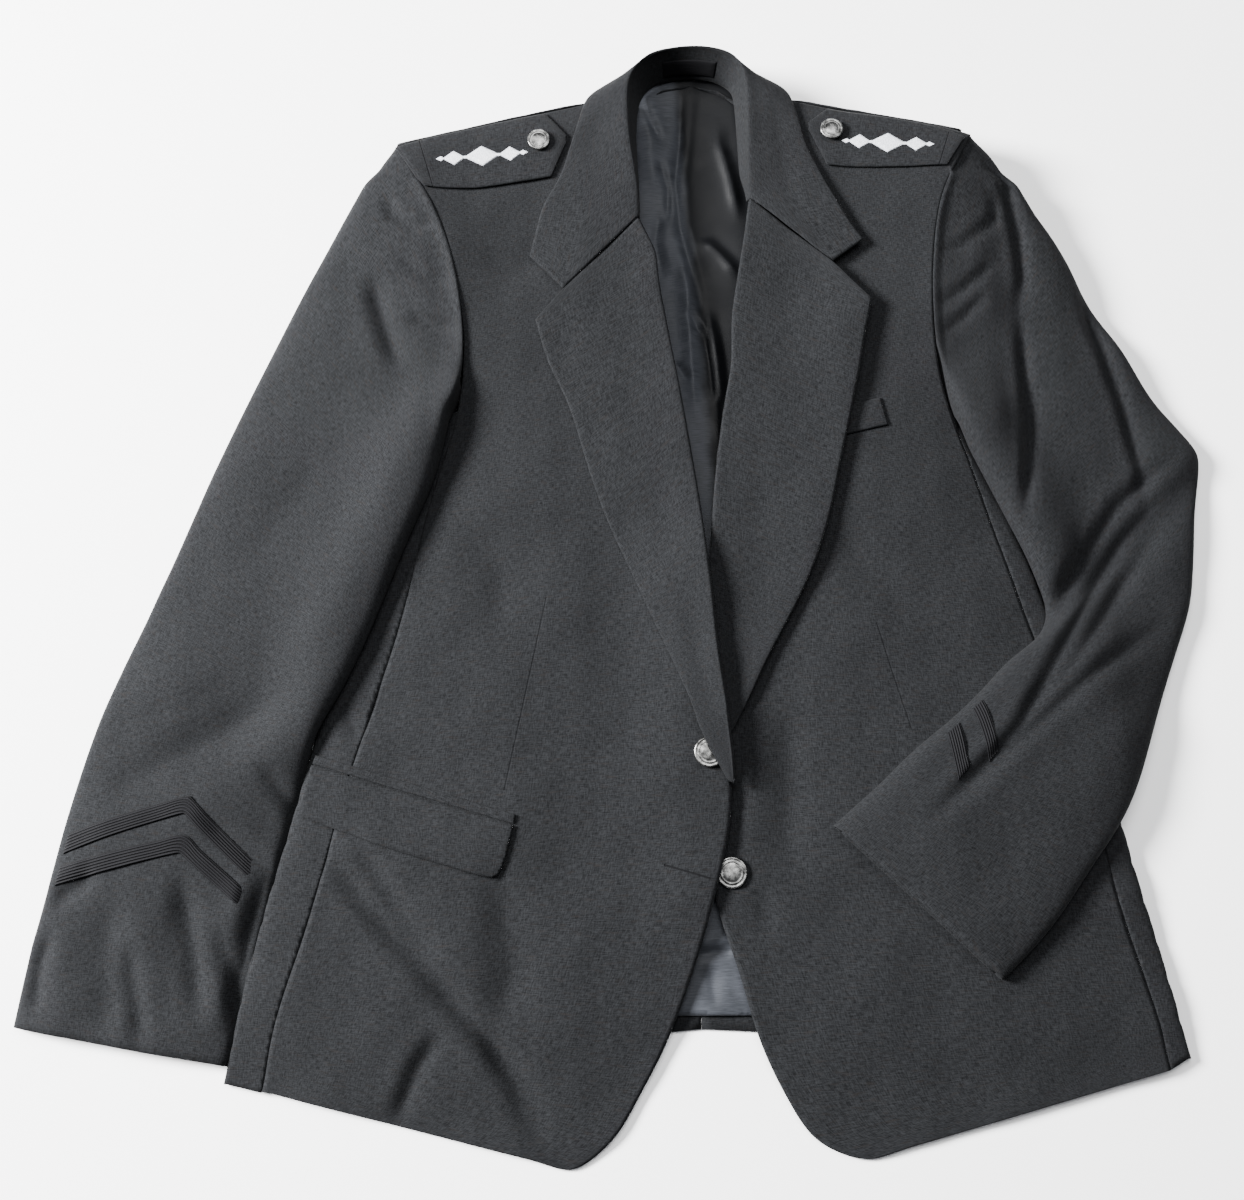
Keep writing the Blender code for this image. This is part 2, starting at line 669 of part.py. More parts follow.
# Sleeves: flattened tubes. Each row runs from the inner edge to the outer one, with the height of the
# crown near each edge, the roundness of the edges, how square the section is, and how much of the
# armhole's curve the row still has
Sleeve = namedtuple(
    "Sleeve", "inner_x inner_y outer_x outer_y inner_crown outer_crown inner_turn outer_turn square curve"
)
LEFT_SLEEVE = [
    Sleeve(-121, 158, -180, 357, 30, 45, 12, 20, 5.0, 1.0),
    Sleeve(-124, 147, -196, 333, 29, 41, 10, 17, 4.5, 0.8),
    Sleeve(-128.5, 134, -215, 299, 27, 35, 8, 13, 3.6, 0.5),
    Sleeve(-132, 114, -234, 262, 25, 29, 7, 10, 3.0, 0.25),
    Sleeve(-141, 80, -258, 211, 23, 25, 6, 8, 2.7, 0.1),
    Sleeve(-156, 43, -282, 155, 21, 22, 5.5, 7, 2.6, 0.0),
    Sleeve(-172, 0, -303, 104, 20, 20, 5, 6, 2.6, 0.0),
    Sleeve(-188, -42, -325, 44, 19, 19, 5, 6, 2.6, 0.0),
    Sleeve(-206, -80, -346, -12, 18, 18, 4.5, 5.5, 2.6, 0.0),
    Sleeve(-224, -112, -366, -61, 17, 17, 4.5, 5, 2.6, 0.0),
    Sleeve(-234, -143, -382, -109, 16, 16, 4, 5, 2.6, 0.0),
    Sleeve(-244, -182, -395, -163, 15, 15, 4, 4.5, 2.6, 0.0),
    Sleeve(-254, -224, -405, -215, 14, 14, 4, 4, 2.6, 0.0),
    Sleeve(-264, -270, -413, -259, 13, 13, 3.5, 4, 2.6, 0.0),
    Sleeve(-275, -330, -420, -304, 12, 12, 3.5, 3.5, 2.6, 0.0),
]
RIGHT_SLEEVE = [
    Sleeve(237.5, 184, 279, 364, 31, 46, 12, 20, 5.0, 1.0),
    Sleeve(241, 170, 298, 342, 30, 41, 10, 17, 4.5, 0.8),
    Sleeve(244, 156, 318, 307, 28, 34, 8, 13, 3.6, 0.5),
    Sleeve(249, 136, 340, 274, 26, 29, 7, 10, 3.0, 0.25),
    Sleeve(257, 112, 359, 230, 24, 25, 6, 8, 2.7, 0.1),
    Sleeve(269, 86, 380, 197, 22, 22, 5.5, 7, 2.6, 0.0),
    Sleeve(282, 58, 401, 157, 20, 20, 5, 6, 2.6, 0.0),
    Sleeve(294, 32, 421, 130, 19, 19, 5, 6, 2.6, 0.0),
    Sleeve(303, 8, 433, 111, 16, 18, 4.5, 5.5, 2.6, 0.0),
    Sleeve(308, -14, 432, 91, 10, 12, 4, 5, 2.6, 0.0),
    Sleeve(302, -30, 427, 64, 14, 15, 4, 5, 2.6, 0.0),
    Sleeve(291, -40, 423, 28, 17, 17, 4, 5, 2.6, 0.0),
    Sleeve(275, -53, 417, -7, 17, 17, 4, 5, 2.6, 0.0),
    Sleeve(256, -73, 400, -52, 16, 16, 4, 5, 2.6, 0.0),
    Sleeve(233, -94, 380, -103, 16, 16, 4, 5, 2.6, 0.0),
    Sleeve(207, -115, 358, -154, 15, 15, 4, 4.5, 2.6, 0.0),
    Sleeve(185, -136, 329, -195, 14, 14, 4, 4, 2.6, 0.0),
    Sleeve(167, -152, 296, -239, 13, 13, 3.5, 4, 2.6, 0.0),
    Sleeve(149, -167, 262, -273, 12, 12, 3.5, 3.5, 2.6, 0.0),
]
SLEEVE_ROW_STEPS = 1.5
CROWN_COLUMNS = 10
UNDER_COLUMNS = 6
TURN_UNDER = 3.0
STEP_ALONG = 0.2
LEAST_SINE = 0.16
SKIRT_UNDER = 30.0
SKIRT_OVER = 62.0
LEFT_BESIDE = (-143.0, -106.0)


class Tube:
    """A flattened sleeve, which lies over the body where the two cross."""

    def __init__(self, table, edge, seam, inward, side_top, shoulder_y, folds):
        self.table = table
        self.edge = edge
        self.seam = seam
        self.inward = inward
        self.side_top = side_top
        self.shoulder_y = shoulder_y
        self.folds = folds

    def beneath(self, x, y, skirt):
        """Height of what the sleeve lies on: the body, and a slope off its edge down to the table."""
        edge_x = read(BODY, self.edge, y)
        outside = max(0.0, self.inward * (edge_x - x))
        above = max(0.0, y - self.side_top)
        away = math.hypot(outside, above)
        height = body_height(x, min(y, self.side_top)) + CLEAR
        if self.inward > 0:
            height *= ramp(y, *LEFT_BESIDE)
        return height * (1 - ramp(away, 0.0, skirt))

    def plan(self, row, across):
        """Where the sleeve's row is in plan, curved as the armhole is near the top."""
        x = mix(row.inner_x, row.outer_x, across)
        y = mix(row.inner_y, row.outer_y, across)
        first = self.table[0]
        first_x = mix(first.inner_x, first.outer_x, across)
        first_y = mix(first.inner_y, first.outer_y, across)
        armhole_x = read(BODY, self.seam, min(first_y, self.shoulder_y)) - self.inward * ARMHOLE_GAP
        return x + (armhole_x - first_x) * row.curve * ramp(-across, -1.0, -0.93), y

    def turn(self, row, across):
        return mix(row.inner_turn, row.outer_turn, across)

    def top(self, at, across, lift=0.0):
        """A point of the sleeve's upper face, between its edges."""
        row = between(self.table, at)
        x, y = self.plan(row, across)
        turn = self.turn(row, across)
        crown = mix(row.inner_crown, row.outer_crown, across)
        arch = max(0.0, 1 - abs(2 * across - 1) ** row.square) ** (1 / row.square)
        height = turn + (crown - turn) * arch + fold_height(self.folds, x, y) * arch
        return Vector((x, y, self.beneath(x, y, SKIRT_OVER) + height + lift))

    def low(self, at, from_edge, height):
        """A point of the sleeve's lower face: from_edge is below zero when counted from the outer edge."""
        row = between(self.table, at)
        wide = math.hypot(row.outer_x - row.inner_x, row.outer_y - row.inner_y)
        across = from_edge / wide if from_edge >= 0 else 1 + from_edge / wide
        x, y = self.plan(row, across)
        return Vector((x, y, self.beneath(x, y, SKIRT_UNDER) + height))

    def width(self, at):
        row = between(self.table, at)
        return math.hypot(row.outer_x - row.inner_x, row.outer_y - row.inner_y)

    def upper_line(self, at):
        """The top sleeve's section, turned under at both edges."""
        row = between(self.table, at)
        low = 1 - math.sqrt(0.5)
        inner, outer = row.inner_turn, row.outer_turn
        line = [self.low(at, inner + TURN_UNDER, 0.0), self.low(at, low * inner, low * inner)]
        for k in range(CROWN_COLUMNS + 1):
            across = (1 - math.cos(math.pi * k / CROWN_COLUMNS)) / 2
            line.append(self.top(at, across))
        line += [self.low(at, -low * outer, low * outer), self.low(at, -outer - TURN_UNDER, 0.0)]
        return line

    def gap(self, at, across, step):
        """The gap beside a turned edge, measured along the row, which crosses that edge at a slant."""
        row = between(self.table, at)
        here = Vector(self.plan(row, across))
        along_edge = Vector(self.plan(between(self.table, at + STEP_ALONG), across)) - here
        along_row = Vector(self.plan(row, across + step)) - here
        sine = abs(along_edge.cross(along_row)) / (along_edge.length * along_row.length)
        return UNDER_GAP / max(LEAST_SINE, sine)

    def under_line(self, at):
        """The under sleeve's section, flat on what it lies on."""
        row = between(self.table, at)
        first = row.inner_turn + TURN_UNDER + self.gap(at, 0.0, 0.1)
        last = self.width(at) - row.outer_turn - TURN_UNDER - self.gap(at, 1.0, -0.1)
        return [self.low(at, off, 0.0) for off in steps(first, last, UNDER_COLUMNS)]


def make_sleeve(side, tube):
    places = steps(0, len(tube.table) - 1, round((len(tube.table) - 1) * SLEEVE_ROW_STEPS))
    sheet(f"sleeve_{side}_top", [tube.upper_line(at) for at in places], CLOTH, WORSTED)
    under = [tube.under_line(at) for at in places]
    sheet(f"sleeve_{side}_under", under, CLOTH, WORSTED_UNDER, outer="down")


left_tube = Tube(LEFT_SLEEVE, "left", "seam_left", 1, SIDE_TOP_LEFT, 347, LEFT_SLEEVE_FOLDS)
right_tube = Tube(RIGHT_SLEEVE, "right", "seam_right", -1, SIDE_TOP_RIGHT, 355, RIGHT_SLEEVE_FOLDS)
make_sleeve("left", left_tube)
make_sleeve("right", right_tube)


def lay_on(name, surface, table, columns, row_steps, wall, lift, finish, corners=()):
    """A strip on a panel: a row for each place along it, from one edge to the other, moved out by lift."""
    lines = []
    for at in steps(0, len(table) - 1, (len(table) - 1) * row_steps):
        x0, y0, x1, y1 = between(table, at, corners)
        line = []
        for across in steps(0, 1, columns):
            x = mix(x0, x1, across)
            y = mix(y0, y1, across)
            line.append(Vector((x, y, surface(x, y) + lift)))
        lines.append(line)
    return sheet(name, lines, wall, finish)


Strip = namedtuple("Strip", "x0 y0 x1 y1")

# Epaulettes: a row for each place along it, from the front edge to the edge at the crest
LEFT_EPAULETTE = [
    Strip(-151, 314, -172, 348),
    Strip(-138, 313, -150, 356),
    Strip(-110, 314, -120, 365),
    Strip(-80, 319, -85, 374),
    Strip(-54, 324, -60, 380),
    Strip(-43, 353, -43, 359),
]
RIGHT_EPAULETTE = [
    Strip(248, 331, 263, 355),
    Strip(235, 331, 245, 364),
    Strip(212, 331, 216, 373),
    Strip(184, 332, 184, 379),
    Strip(157, 334, 159, 384),
    Strip(144, 364, 144, 370),
]
EPAULETTE_CORNER = 4
EPAULETTE_LIFT = CLOTH + 0.8
for side, table in (("left", LEFT_EPAULETTE), ("right", RIGHT_EPAULETTE)):
    lay_on(
        f"epaulette_{side}", body_height, table, 5, 3, CLOTH, EPAULETTE_LIFT, WORSTED, (EPAULETTE_CORNER,)
    )

# Left hip pocket: the flap hangs from under the jet
FLAP = [
    Strip(-221, -124.5, -228.5, -154),
    Strip(-216, -126, -223.5, -162),
    Strip(-190, -134, -192, -173.5),
    Strip(-155, -144.5, -157, -185.5),
    Strip(-120, -155, -121, -196),
    Strip(-95, -162, -96, -203),
    Strip(-83, -165.5, -87, -202),
    Strip(-76, -167.5, -82, -191),
]
JET = [
    Strip(-218.5, -117.5, -220.5, -123.5),
    Strip(-147, -138.5, -149, -145),
    Strip(-75, -160, -76, -166.5),
]
FLAP_LIFT = CLOTH + 0.8
JET_LIFT = 1.9
lay_on("pocket_flap_left", body_height, FLAP, 5, 2, CLOTH, FLAP_LIFT, WORSTED)
lay_on("pocket_jet_left", body_height, JET, 1, 8, 1.4, JET_LIFT, WORSTED)

# Breast pocket welt, mostly under the right lapel
WELT = [
    Strip(112, 130, 107, 107),
    Strip(153, 140, 151, 117),
    Strip(193, 149.5, 198.5, 128.5),
]
lay_on("breast_welt", body_height, WELT, 2, 4, 1.4, 1.9, WORSTED)

# Braid: two bands on each sleeve, placed by the sleeve's rows and by the share across it
Band = namedtuple("Band", "at_low at_high across")
BRAID_LIFT = 2.1


def make_braid(name, tube, table, row_steps):
    """A flat band on a sleeve's upper face; each row of the table goes across the band."""
    lines = []
    for at in steps(0, len(table) - 1, (len(table) - 1) * row_steps):
        row = between(table, at, corners=(1,))
        line = []
        for share in steps(0, 1, 2):
            line.append(tube.top(mix(row.at_low, row.at_high, share), row.across, BRAID_LIFT))
        lines.append(line)
    sheet(name, lines, TAPE, BRAID_TAPE)


LEFT_BRAID_WIDTH = 0.27
LEFT_BRAIDS = {
    "braid_left_upper": [Band(11.17, 0, 0.96), Band(10.42, 0, 0.45), Band(11.37, 0, 0.04)],
    "braid_left_lower": [Band(11.6, 0, 0.96), Band(11.0, 0, 0.42), Band(11.83, 0, 0.04)],
}
for name, rows in LEFT_BRAIDS.items():
    table = [row._replace(at_high=row.at_low + LEFT_BRAID_WIDTH) for row in rows]
    make_braid(name, left_tube, table, 6)

RIGHT_BRAIDS = {
    "braid_right_upper": [Band(13.35, 13.66, 0.05), Band(14.0, 14.29, 0.19), Band(14.6, 14.88, 0.32)],
    "braid_right_lower": [Band(14.07, 14.42, 0.05), Band(14.6, 14.95, 0.16), Band(15.1, 15.45, 0.26)],
}
for name, table in RIGHT_BRAIDS.items():
    make_braid(name, right_tube, table, 3)

# Buttons: a domed face inside a low rim
Profile = namedtuple("Profile", "radius height")
BUTTON_PROFILE = [
    Profile(0.0, 1.0),
    Profile(0.45, 0.93),
    Profile(0.8, 0.72),
    Profile(0.86, 0.78),
    Profile(0.97, 0.66),
    Profile(1.0, 0.4),
    Profile(0.82, 0.1),
    Profile(0.3, 0.0),
    Profile(0.0, 0.0),
]
BUTTON_SIDES = 16
FRONT_BUTTON = (11.2, 4.0)
SHOULDER_BUTTON = (8.8, 3.8)


def make_button(name, size, surface, x, y, lift):
    """A turned button, tilted to lie on the cloth under it."""
    radius, height = size
    mesh = bpy.data.meshes.new(name)
    bm = bmesh.new()
    verts = [bm.verts.new(Vector((p.radius * radius, 0, p.height * height)) * MM) for p in BUTTON_PROFILE]
    for a, b in zip(verts, verts[1:]):
        bm.edges.new((a, b))
    bm.to_mesh(mesh)
    bm.free()
    made = piece(name, mesh, SILVER)
    screw = made.modifiers.new("turned", "SCREW")
    screw.steps = BUTTON_SIDES
    screw.render_steps = BUTTON_SIDES
    screw.use_merge_vertices = True
    screw.merge_threshold = 0.00001
    screw.use_smooth_shade = True
    slope_x = (surface(x + radius, y) - surface(x - radius, y)) / (2 * radius)
    slope_y = (surface(x, y + radius) - surface(x, y - radius)) / (2 * radius)
    normal = Vector((-slope_x, -slope_y, 1)).normalized()
    made.rotation_mode = "QUATERNION"
    made.rotation_quaternion = Vector((0, 0, 1)).rotation_difference(normal)
    made.location = (Vector((x, y, surface(x, y))) + normal * lift) * MM
    return made


ON_CLOTH = 0.6
make_button("button_front_upper", FRONT_BUTTON, left_height, 62, -116, ON_CLOTH)
make_button("button_front_lower", FRONT_BUTTON, body_height, 77, -200, ON_CLOTH)
make_button("button_shoulder_left", SHOULDER_BUTTON, body_height, -64, 353, EPAULETTE_LIFT + ON_CLOTH)
make_button("button_shoulder_right", SHOULDER_BUTTON, body_height, 161, 362, EPAULETTE_LIFT + ON_CLOTH)

# The jacket is moved as one, so that its box is centred on the origin
bpy.context.view_layer.update()
graph = bpy.context.evaluated_depsgraph_get()
corners = []
for made in jacket.objects:
    evaluated = made.evaluated_get(graph)
    corners += [evaluated.matrix_world @ Vector(corner) for corner in evaluated.bound_box]
lowest = Vector([min(corner[axis] for corner in corners) for axis in range(3)])
highest = Vector([max(corner[axis] for corner in corners) for axis in range(3)])
centre = (lowest + highest) / 2
for made in jacket.objects:
    made.location -= Vector((centre.x, centre.y, lowest.z))
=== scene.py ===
"""A bus driver's uniform jacket of charcoal worsted, laid flat on its back on a pale table.

Places in plan are the cutter's: millimetres from a point a little below the middle of the fronts, x to the
right as seen from above and y towards the collar, with heights over the table. MIDDLE is where that point
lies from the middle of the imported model.
"""

import math
from collections import namedtuple

import bmesh
import bpy
import numpy as np
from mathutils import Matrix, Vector
from mathutils.bvhtree import BVHTree
from mathutils.kdtree import KDTree


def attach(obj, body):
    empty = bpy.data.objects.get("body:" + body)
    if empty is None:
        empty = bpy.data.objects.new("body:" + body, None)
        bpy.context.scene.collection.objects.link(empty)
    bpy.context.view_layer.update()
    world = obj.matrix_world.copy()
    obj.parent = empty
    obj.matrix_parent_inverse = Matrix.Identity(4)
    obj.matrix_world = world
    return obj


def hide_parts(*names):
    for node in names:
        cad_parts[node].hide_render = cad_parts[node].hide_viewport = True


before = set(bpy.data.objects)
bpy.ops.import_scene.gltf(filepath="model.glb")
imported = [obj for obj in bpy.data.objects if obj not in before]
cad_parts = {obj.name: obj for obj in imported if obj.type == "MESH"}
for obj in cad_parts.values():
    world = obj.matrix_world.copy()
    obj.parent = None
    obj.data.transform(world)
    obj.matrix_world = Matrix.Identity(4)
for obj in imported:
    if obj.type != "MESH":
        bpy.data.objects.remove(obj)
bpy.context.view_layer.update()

# Camera: it stands a little on the hem's side of the jacket and looks down on it, 14 degrees off straight
# down, from about a metre.
MM = 0.001
MIDDLE = Vector((6.56, 21.06, 0.0))
VIEW_DISTANCE = 1150.0
VIEW_TILT = math.radians(14)


def place(x, y, z):
    """A place in the cutter's millimetres, as a place in the model."""
    return (Vector((x, y, z)) - MIDDLE) * MM


camera = bpy.data.objects.new("camera", bpy.data.cameras.new("camera"))
camera.data.lens = 45
camera.data.sensor_width = 36
camera.location = place(0, -VIEW_DISTANCE * math.sin(VIEW_TILT), VIEW_DISTANCE * math.cos(VIEW_TILT))
camera.rotation_euler = (VIEW_TILT, 0, 0)
bpy.context.scene.collection.objects.link(camera)
bpy.context.scene.camera = camera


# Table and light: a smooth off-white board in a pale room, with a large lamp far off on the left, as a
# window is, and a softer one over the collar's end.
class Socket:
    """A material's socket: sums on it add Math nodes, and node() adds any other node."""

    def __init__(self, tree, socket):
        self.tree = tree
        self.socket = socket

    def node(self, kind, inputs, output=0, **settings):
        made = self.tree.nodes.new(kind)
        for key, value in settings.items():
            setattr(made, key, value)
        for key, value in inputs.items():
            if isinstance(value, Socket):
                self.tree.links.new(value.socket, made.inputs[key])
            else:
                made.inputs[key].default_value = value
        return Socket(self.tree, made.outputs[output])

    def math(self, operation, other, swapped=False):
        first, second = (other, self) if swapped else (self, other)
        return self.node("ShaderNodeMath", {0: first, 1: second}, operation=operation)

    def __add__(self, other):
        return self.math("ADD", other)

    def __sub__(self, other):
        return self.math("SUBTRACT", other)

    def __rsub__(self, other):
        return self.math("SUBTRACT", other, swapped=True)

    def __mul__(self, other):
        return self.math("MULTIPLY", other)

    __radd__ = __add__
    __rmul__ = __mul__

    def blend(self, low, high):
        """A colour between two, by this share."""
        return self.node("ShaderNodeMix", {0: self, 6: low, 7: high}, output=2, data_type="RGBA")

    def band(self, low, high):
        """Goes smoothly from 0 at low to 1 at high."""
        inputs = {0: self, 1: low, 2: high, 3: 0.0, 4: 1.0}
        return self.node("ShaderNodeMapRange", inputs, interpolation_type="SMOOTHSTEP")

    def grain(self, size, stretch=(1.0, 1.0)):
        """Noise on these coordinates, with specks of about that size in metres."""
        stretched = self.node("ShaderNodeMapping", {"Vector": self, "Scale": (*stretch, 1.0)})
        return self.node("ShaderNodeTexNoise", {"Vector": stretched, "Scale": 1 / size, "Detail": 3.0})

    def near(self, line):
        """1 on a straight line drawn in the cutter's plan, and 0 from its width outwards."""
        corner = place(line.x0, line.y0, 0)
        run = (place(line.x1, line.y1, 0) - corner).xy
        x = self.part(0) - corner.x
        y = self.part(1) - corner.y
        share = (x * (run.x / run.length_squared) + y * (run.y / run.length_squared)).clamp()
        x = x - share * run.x
        y = y - share * run.y
        return 1 - (x * x + y * y).math("POWER", 0.5).band(0.3 * line.width * MM, line.width * MM)

    def part(self, axis):
        """One coordinate of a place."""
        return self.node("ShaderNodeSeparateXYZ", {0: self}, output=axis)

    def clamp(self):
        return self.node("ShaderNodeClamp", {0: self})


class Finish:
    """A material with its shader and the piece's own coordinates."""

    def __init__(self, name, roughness, metallic=0.0):
        self.material = bpy.data.materials.new(name)
        self.material.use_nodes = True
        self.tree = self.material.node_tree
        self.shader = self.tree.nodes["Principled BSDF"]
        self.shader.inputs["Roughness"].default_value = roughness
        self.shader.inputs["Metallic"].default_value = metallic
        coordinates = self.tree.nodes.new("ShaderNodeTexCoord")
        self.on_piece = Socket(self.tree, coordinates.outputs["Object"])
        self.on_cloth = Socket(self.tree, coordinates.outputs["UV"])

    def feed(self, name, value):
        self.tree.links.new(value.socket, self.shader.inputs[name])

    def relief(self, height, depth):
        """Raises the surface by height, where 1 is depth in metres."""
        bump = self.on_piece.node("ShaderNodeBump", {"Height": height, "Distance": depth, "Strength": 1.0})
        self.feed("Normal", bump)


def add_piece(name, bm, material):
    mesh = bpy.data.meshes.new(name)
    bm.to_mesh(mesh)
    bm.free()
    mesh.materials.append(material)
    made = bpy.data.objects.new(name, mesh)
    bpy.context.scene.collection.objects.link(made)
    return made


TABLE_SIZE = 6.0
TABLE_DROP = -0.0004
board = Finish("board", 0.6)
patches = board.on_piece.grain(0.25)
board.feed("Base Color", patches.blend((0.90, 0.90, 0.90, 1), (0.93, 0.93, 0.93, 1)))
bm = bmesh.new()
bmesh.ops.create_grid(bm, x_segments=2, y_segments=2, size=TABLE_SIZE / 2)
bmesh.ops.translate(bm, verts=bm.verts, vec=(0, 0, TABLE_DROP))
table = add_piece("table", bm, board.material)

world = bpy.data.worlds.new("room")
bpy.context.scene.world = world
world.use_nodes = True
world.node_tree.nodes["Background"].inputs["Color"].default_value = (0.93, 0.95, 1.0, 1)
world.node_tree.nodes["Background"].inputs["Strength"].default_value = 0.34

Lamp = namedtuple("Lamp", "name x y z size power")
for lamp in (
    Lamp("window", -2500, 500, 1500, 1.0, 830),
    Lamp("ceiling", 100, 800, 1900, 1.6, 66),
):
    light = bpy.data.lights.new(lamp.name, "AREA")
    light.shape = "DISK"
    light.size = lamp.size
    light.energy = lamp.power
    made = bpy.data.objects.new(lamp.name, light)
    made.location = place(lamp.x, lamp.y, lamp.z)
    made.rotation_euler = (-made.location).to_track_quat("-Z", "Y").to_euler()
    bpy.context.scene.collection.objects.link(made)


# Backs: two panels of charcoal worsted, sewn together down the middle. They lie face down on the table and
# are hidden but for their edges.
def worsted(name, lines=()):
    """Matte heathered cloth woven square to the piece. Lines are pressed seams, slits and stitching."""
    cloth = Finish(name, 0.9)
    cloth.shader.inputs["Sheen Weight"].default_value = 0.012
    cloth.shader.inputs["Sheen Roughness"].default_value = 0.5
    cloth.shader.inputs["Specular IOR Level"].default_value = 0.08
    warp = cloth.on_cloth.grain(0.0009, (0.2, 1.2))
    weft = cloth.on_cloth.grain(0.0009, (1.2, 0.2))
    fleck = cloth.on_cloth.grain(0.0008)
    tone = warp * 0.38 + weft * 0.38 + fleck * 0.24
    shade = tone.band(0.33, 0.67).blend((0.0013, 0.0014, 0.0017, 1), (0.0118, 0.0125, 0.0138, 1))
    brown = cloth.on_cloth.grain(0.003, (0.3, 1.4)).band(0.52, 0.8) * 0.5
    shade = brown.blend(shade, (0.0088, 0.0070, 0.0060, 1))
    height = tone
    for line in lines:
        near = cloth.on_piece.near(line)
        shade = (near * line.dark).blend(shade, (0.0015, 0.0015, 0.002, 1))
        height = height - near * line.sunk
    cloth.feed("Base Color", shade)
    cloth.relief(height, 0.00022)
    return cloth.material


def ramp(value, low, high):
    """Goes smoothly from 0 at low to 1 at high, for numbers and arrays."""
    u = np.clip((value - low) / (high - low), 0, 1)
    return u * u * (3 - 2 * u)


def faces_of(node, wall):
    """A CAD cloth without its rim, and its two whole faces: the one towards the eye first, then the other."""
    bm = bmesh.new()
    bm.from_mesh(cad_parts[node].data)
    bmesh.ops.remove_doubles(bm, verts=bm.verts, dist=0.00001)
    span = wall * MM
    rim = [
        face
        for face in bm.faces
        if any(abs(edge.calc_length() - span) < WALL_MATCH * span for edge in face.edges)
        and any(edge.calc_face_angle(0) > RIM_TURN for edge in face.edges)
    ]
    bmesh.ops.delete(bm, geom=rim, context="FACES_KEEP_BOUNDARY")
    bm.normal_update()
    left = set(bm.faces)
    found = []
    while left:
        stack = [left.pop()]
        island = set(stack)
        while stack:
            for edge in stack.pop().edges:
                for face in edge.link_faces:
                    if face in left:
                        left.discard(face)
                        island.add(face)
                        stack.append(face)
        found.append(island)
    found.sort(key=len, reverse=True)
    return bm, sorted(found[:2], key=lambda island: -sum(f.calc_area() * f.normal.z for f in island))


def walk(island, loop, start, step, columns):
    """The rows of a face made as a net, walked from one of its corners, or None from anywhere else."""
    net = [[loop[(start + step * k) % len(loop)] for k in range(columns)]]
    used = set()

    def across(a, b):
        for edge in a.link_edges:
            if edge.other_vert(a) == b:
                for face in edge.link_faces:
                    if face in island and face not in used:
                        used.add(face)
                        return face
        return None

    while len(used) < len(island):
        line = [loop[(start - step * len(net)) % len(loop)]]
        for a, b in zip(net[-1], net[-1][1:]):
            low = line[-1]
            face = across(a, b)
            third = face and next(v for v in face.verts if v != a and v != b)
            if not face or third == low:
                face = face and across(low, b)
                third = face and next(v for v in face.verts if v != low and v != b)
            else:
                face = across(a, third)
                if face and low not in face.verts:
                    face = None
            if not face:
                return None
            line.append(third)
        net.append(line)
    return net


def net_of(island):
    """A face's points and normals in rows from the collar's end and columns from the left, or None."""
    border = {edge for face in island for edge in face.edges if len(edge.link_faces) == 1}
    edge = next(iter(border))
    loop = [edge.verts[0]]
    while edge:
        loop.append(edge.other_vert(loop[-1]))
        edge = next((e for e in loop[-1].link_edges if e in border and e != edge), None)
        if loop[-1] == loop[0]:
            loop.pop()
            break
    half = len(loop) / 2 + 2
    count = len({v for face in island for v in face.verts})
    root = math.sqrt(max(0.0, half * half - 4 * count))
    nets = []
    for columns in {round((half - root) / 2), round((half + root) / 2)}:
        if columns < 2 or count % columns or columns + count // columns != half:
            continue
        for start in range(len(loop)):
            for step in (1, -1):
                net = walk(island, loop, start, step, columns)
                if net:
                    points = np.array([[v.co[:] + v.normal[:] for v in line] for line in net])
                    down = (points[0] - points[-1]).mean(0)[1]
                    over = (points[:, -1] - points[:, 0]).mean(0)[0]
                    nets.append((down + over, points))
    return max(nets, key=lambda found: found[0])[1] if nets else None


def grid_from(net):
    """A net of quads through those points, with its weave measured along the rows and columns."""
    rows, columns = net.shape[:2]
    bm = bmesh.new()
    bmesh.ops.create_grid(bm, x_segments=columns - 1, y_segments=rows - 1, size=1, calc_uvs=False)
    bm.verts.ensure_lookup_table()
    across = np.linalg.norm(np.diff(net[:, :, :3], axis=1), axis=2).mean(0).cumsum()
    down = np.linalg.norm(np.diff(net[:, :, :3], axis=0), axis=2).mean(1).cumsum()
    across, down = np.append(0, across), np.append(0, down)
    corner = bm.verts.layers.float.new("crease_vert")
    weave = bm.loops.layers.uv.new("weave")
    at = {}
    for k, vert in enumerate(bm.verts):
        i, j = rows - 1 - k // columns, k % columns
        vert.co = net[i, j, :3]
        at[vert] = (across[j], -down[i])
    for vert in bm.verts:
        ends = [edge.other_vert(vert).co - vert.co for edge in vert.link_edges if edge.is_boundary]
        if len(ends) == 2 and ends[0].angle(-ends[1], 0) > SHARP_CORNER:
            vert[corner] = 1.0
        for loop in vert.link_loops:
            loop[weave].uv = at[vert]
    bm.normal_update()
    agreement = 0.0
    for k, vert in enumerate(bm.verts):
        agreement += vert.normal.dot(Vector(net[rows - 1 - k // columns, k % columns, 3:]))
    if agreement < 0:
        bmesh.ops.reverse_faces(bm, faces=bm.faces)
    return bm


def split(bm, edges):
    """Halves those edges and makes all faces triangles."""
    bmesh.ops.subdivide_edges(bm, edges=edges, cuts=1)
    bmesh.ops.triangulate(bm, faces=bm.faces, quad_method="SHORT_EDGE", ngon_method="BEAUTY")


def ease(bm, rounds):
    """Smooths a face everywhere but at its edge."""
    inner = [vert for vert in bm.verts if not vert.is_boundary]
    for _ in range(rounds):
        bmesh.ops.smooth_vert(bm, verts=inner, factor=0.5, use_axis_x=True, use_axis_y=True, use_axis_z=True)


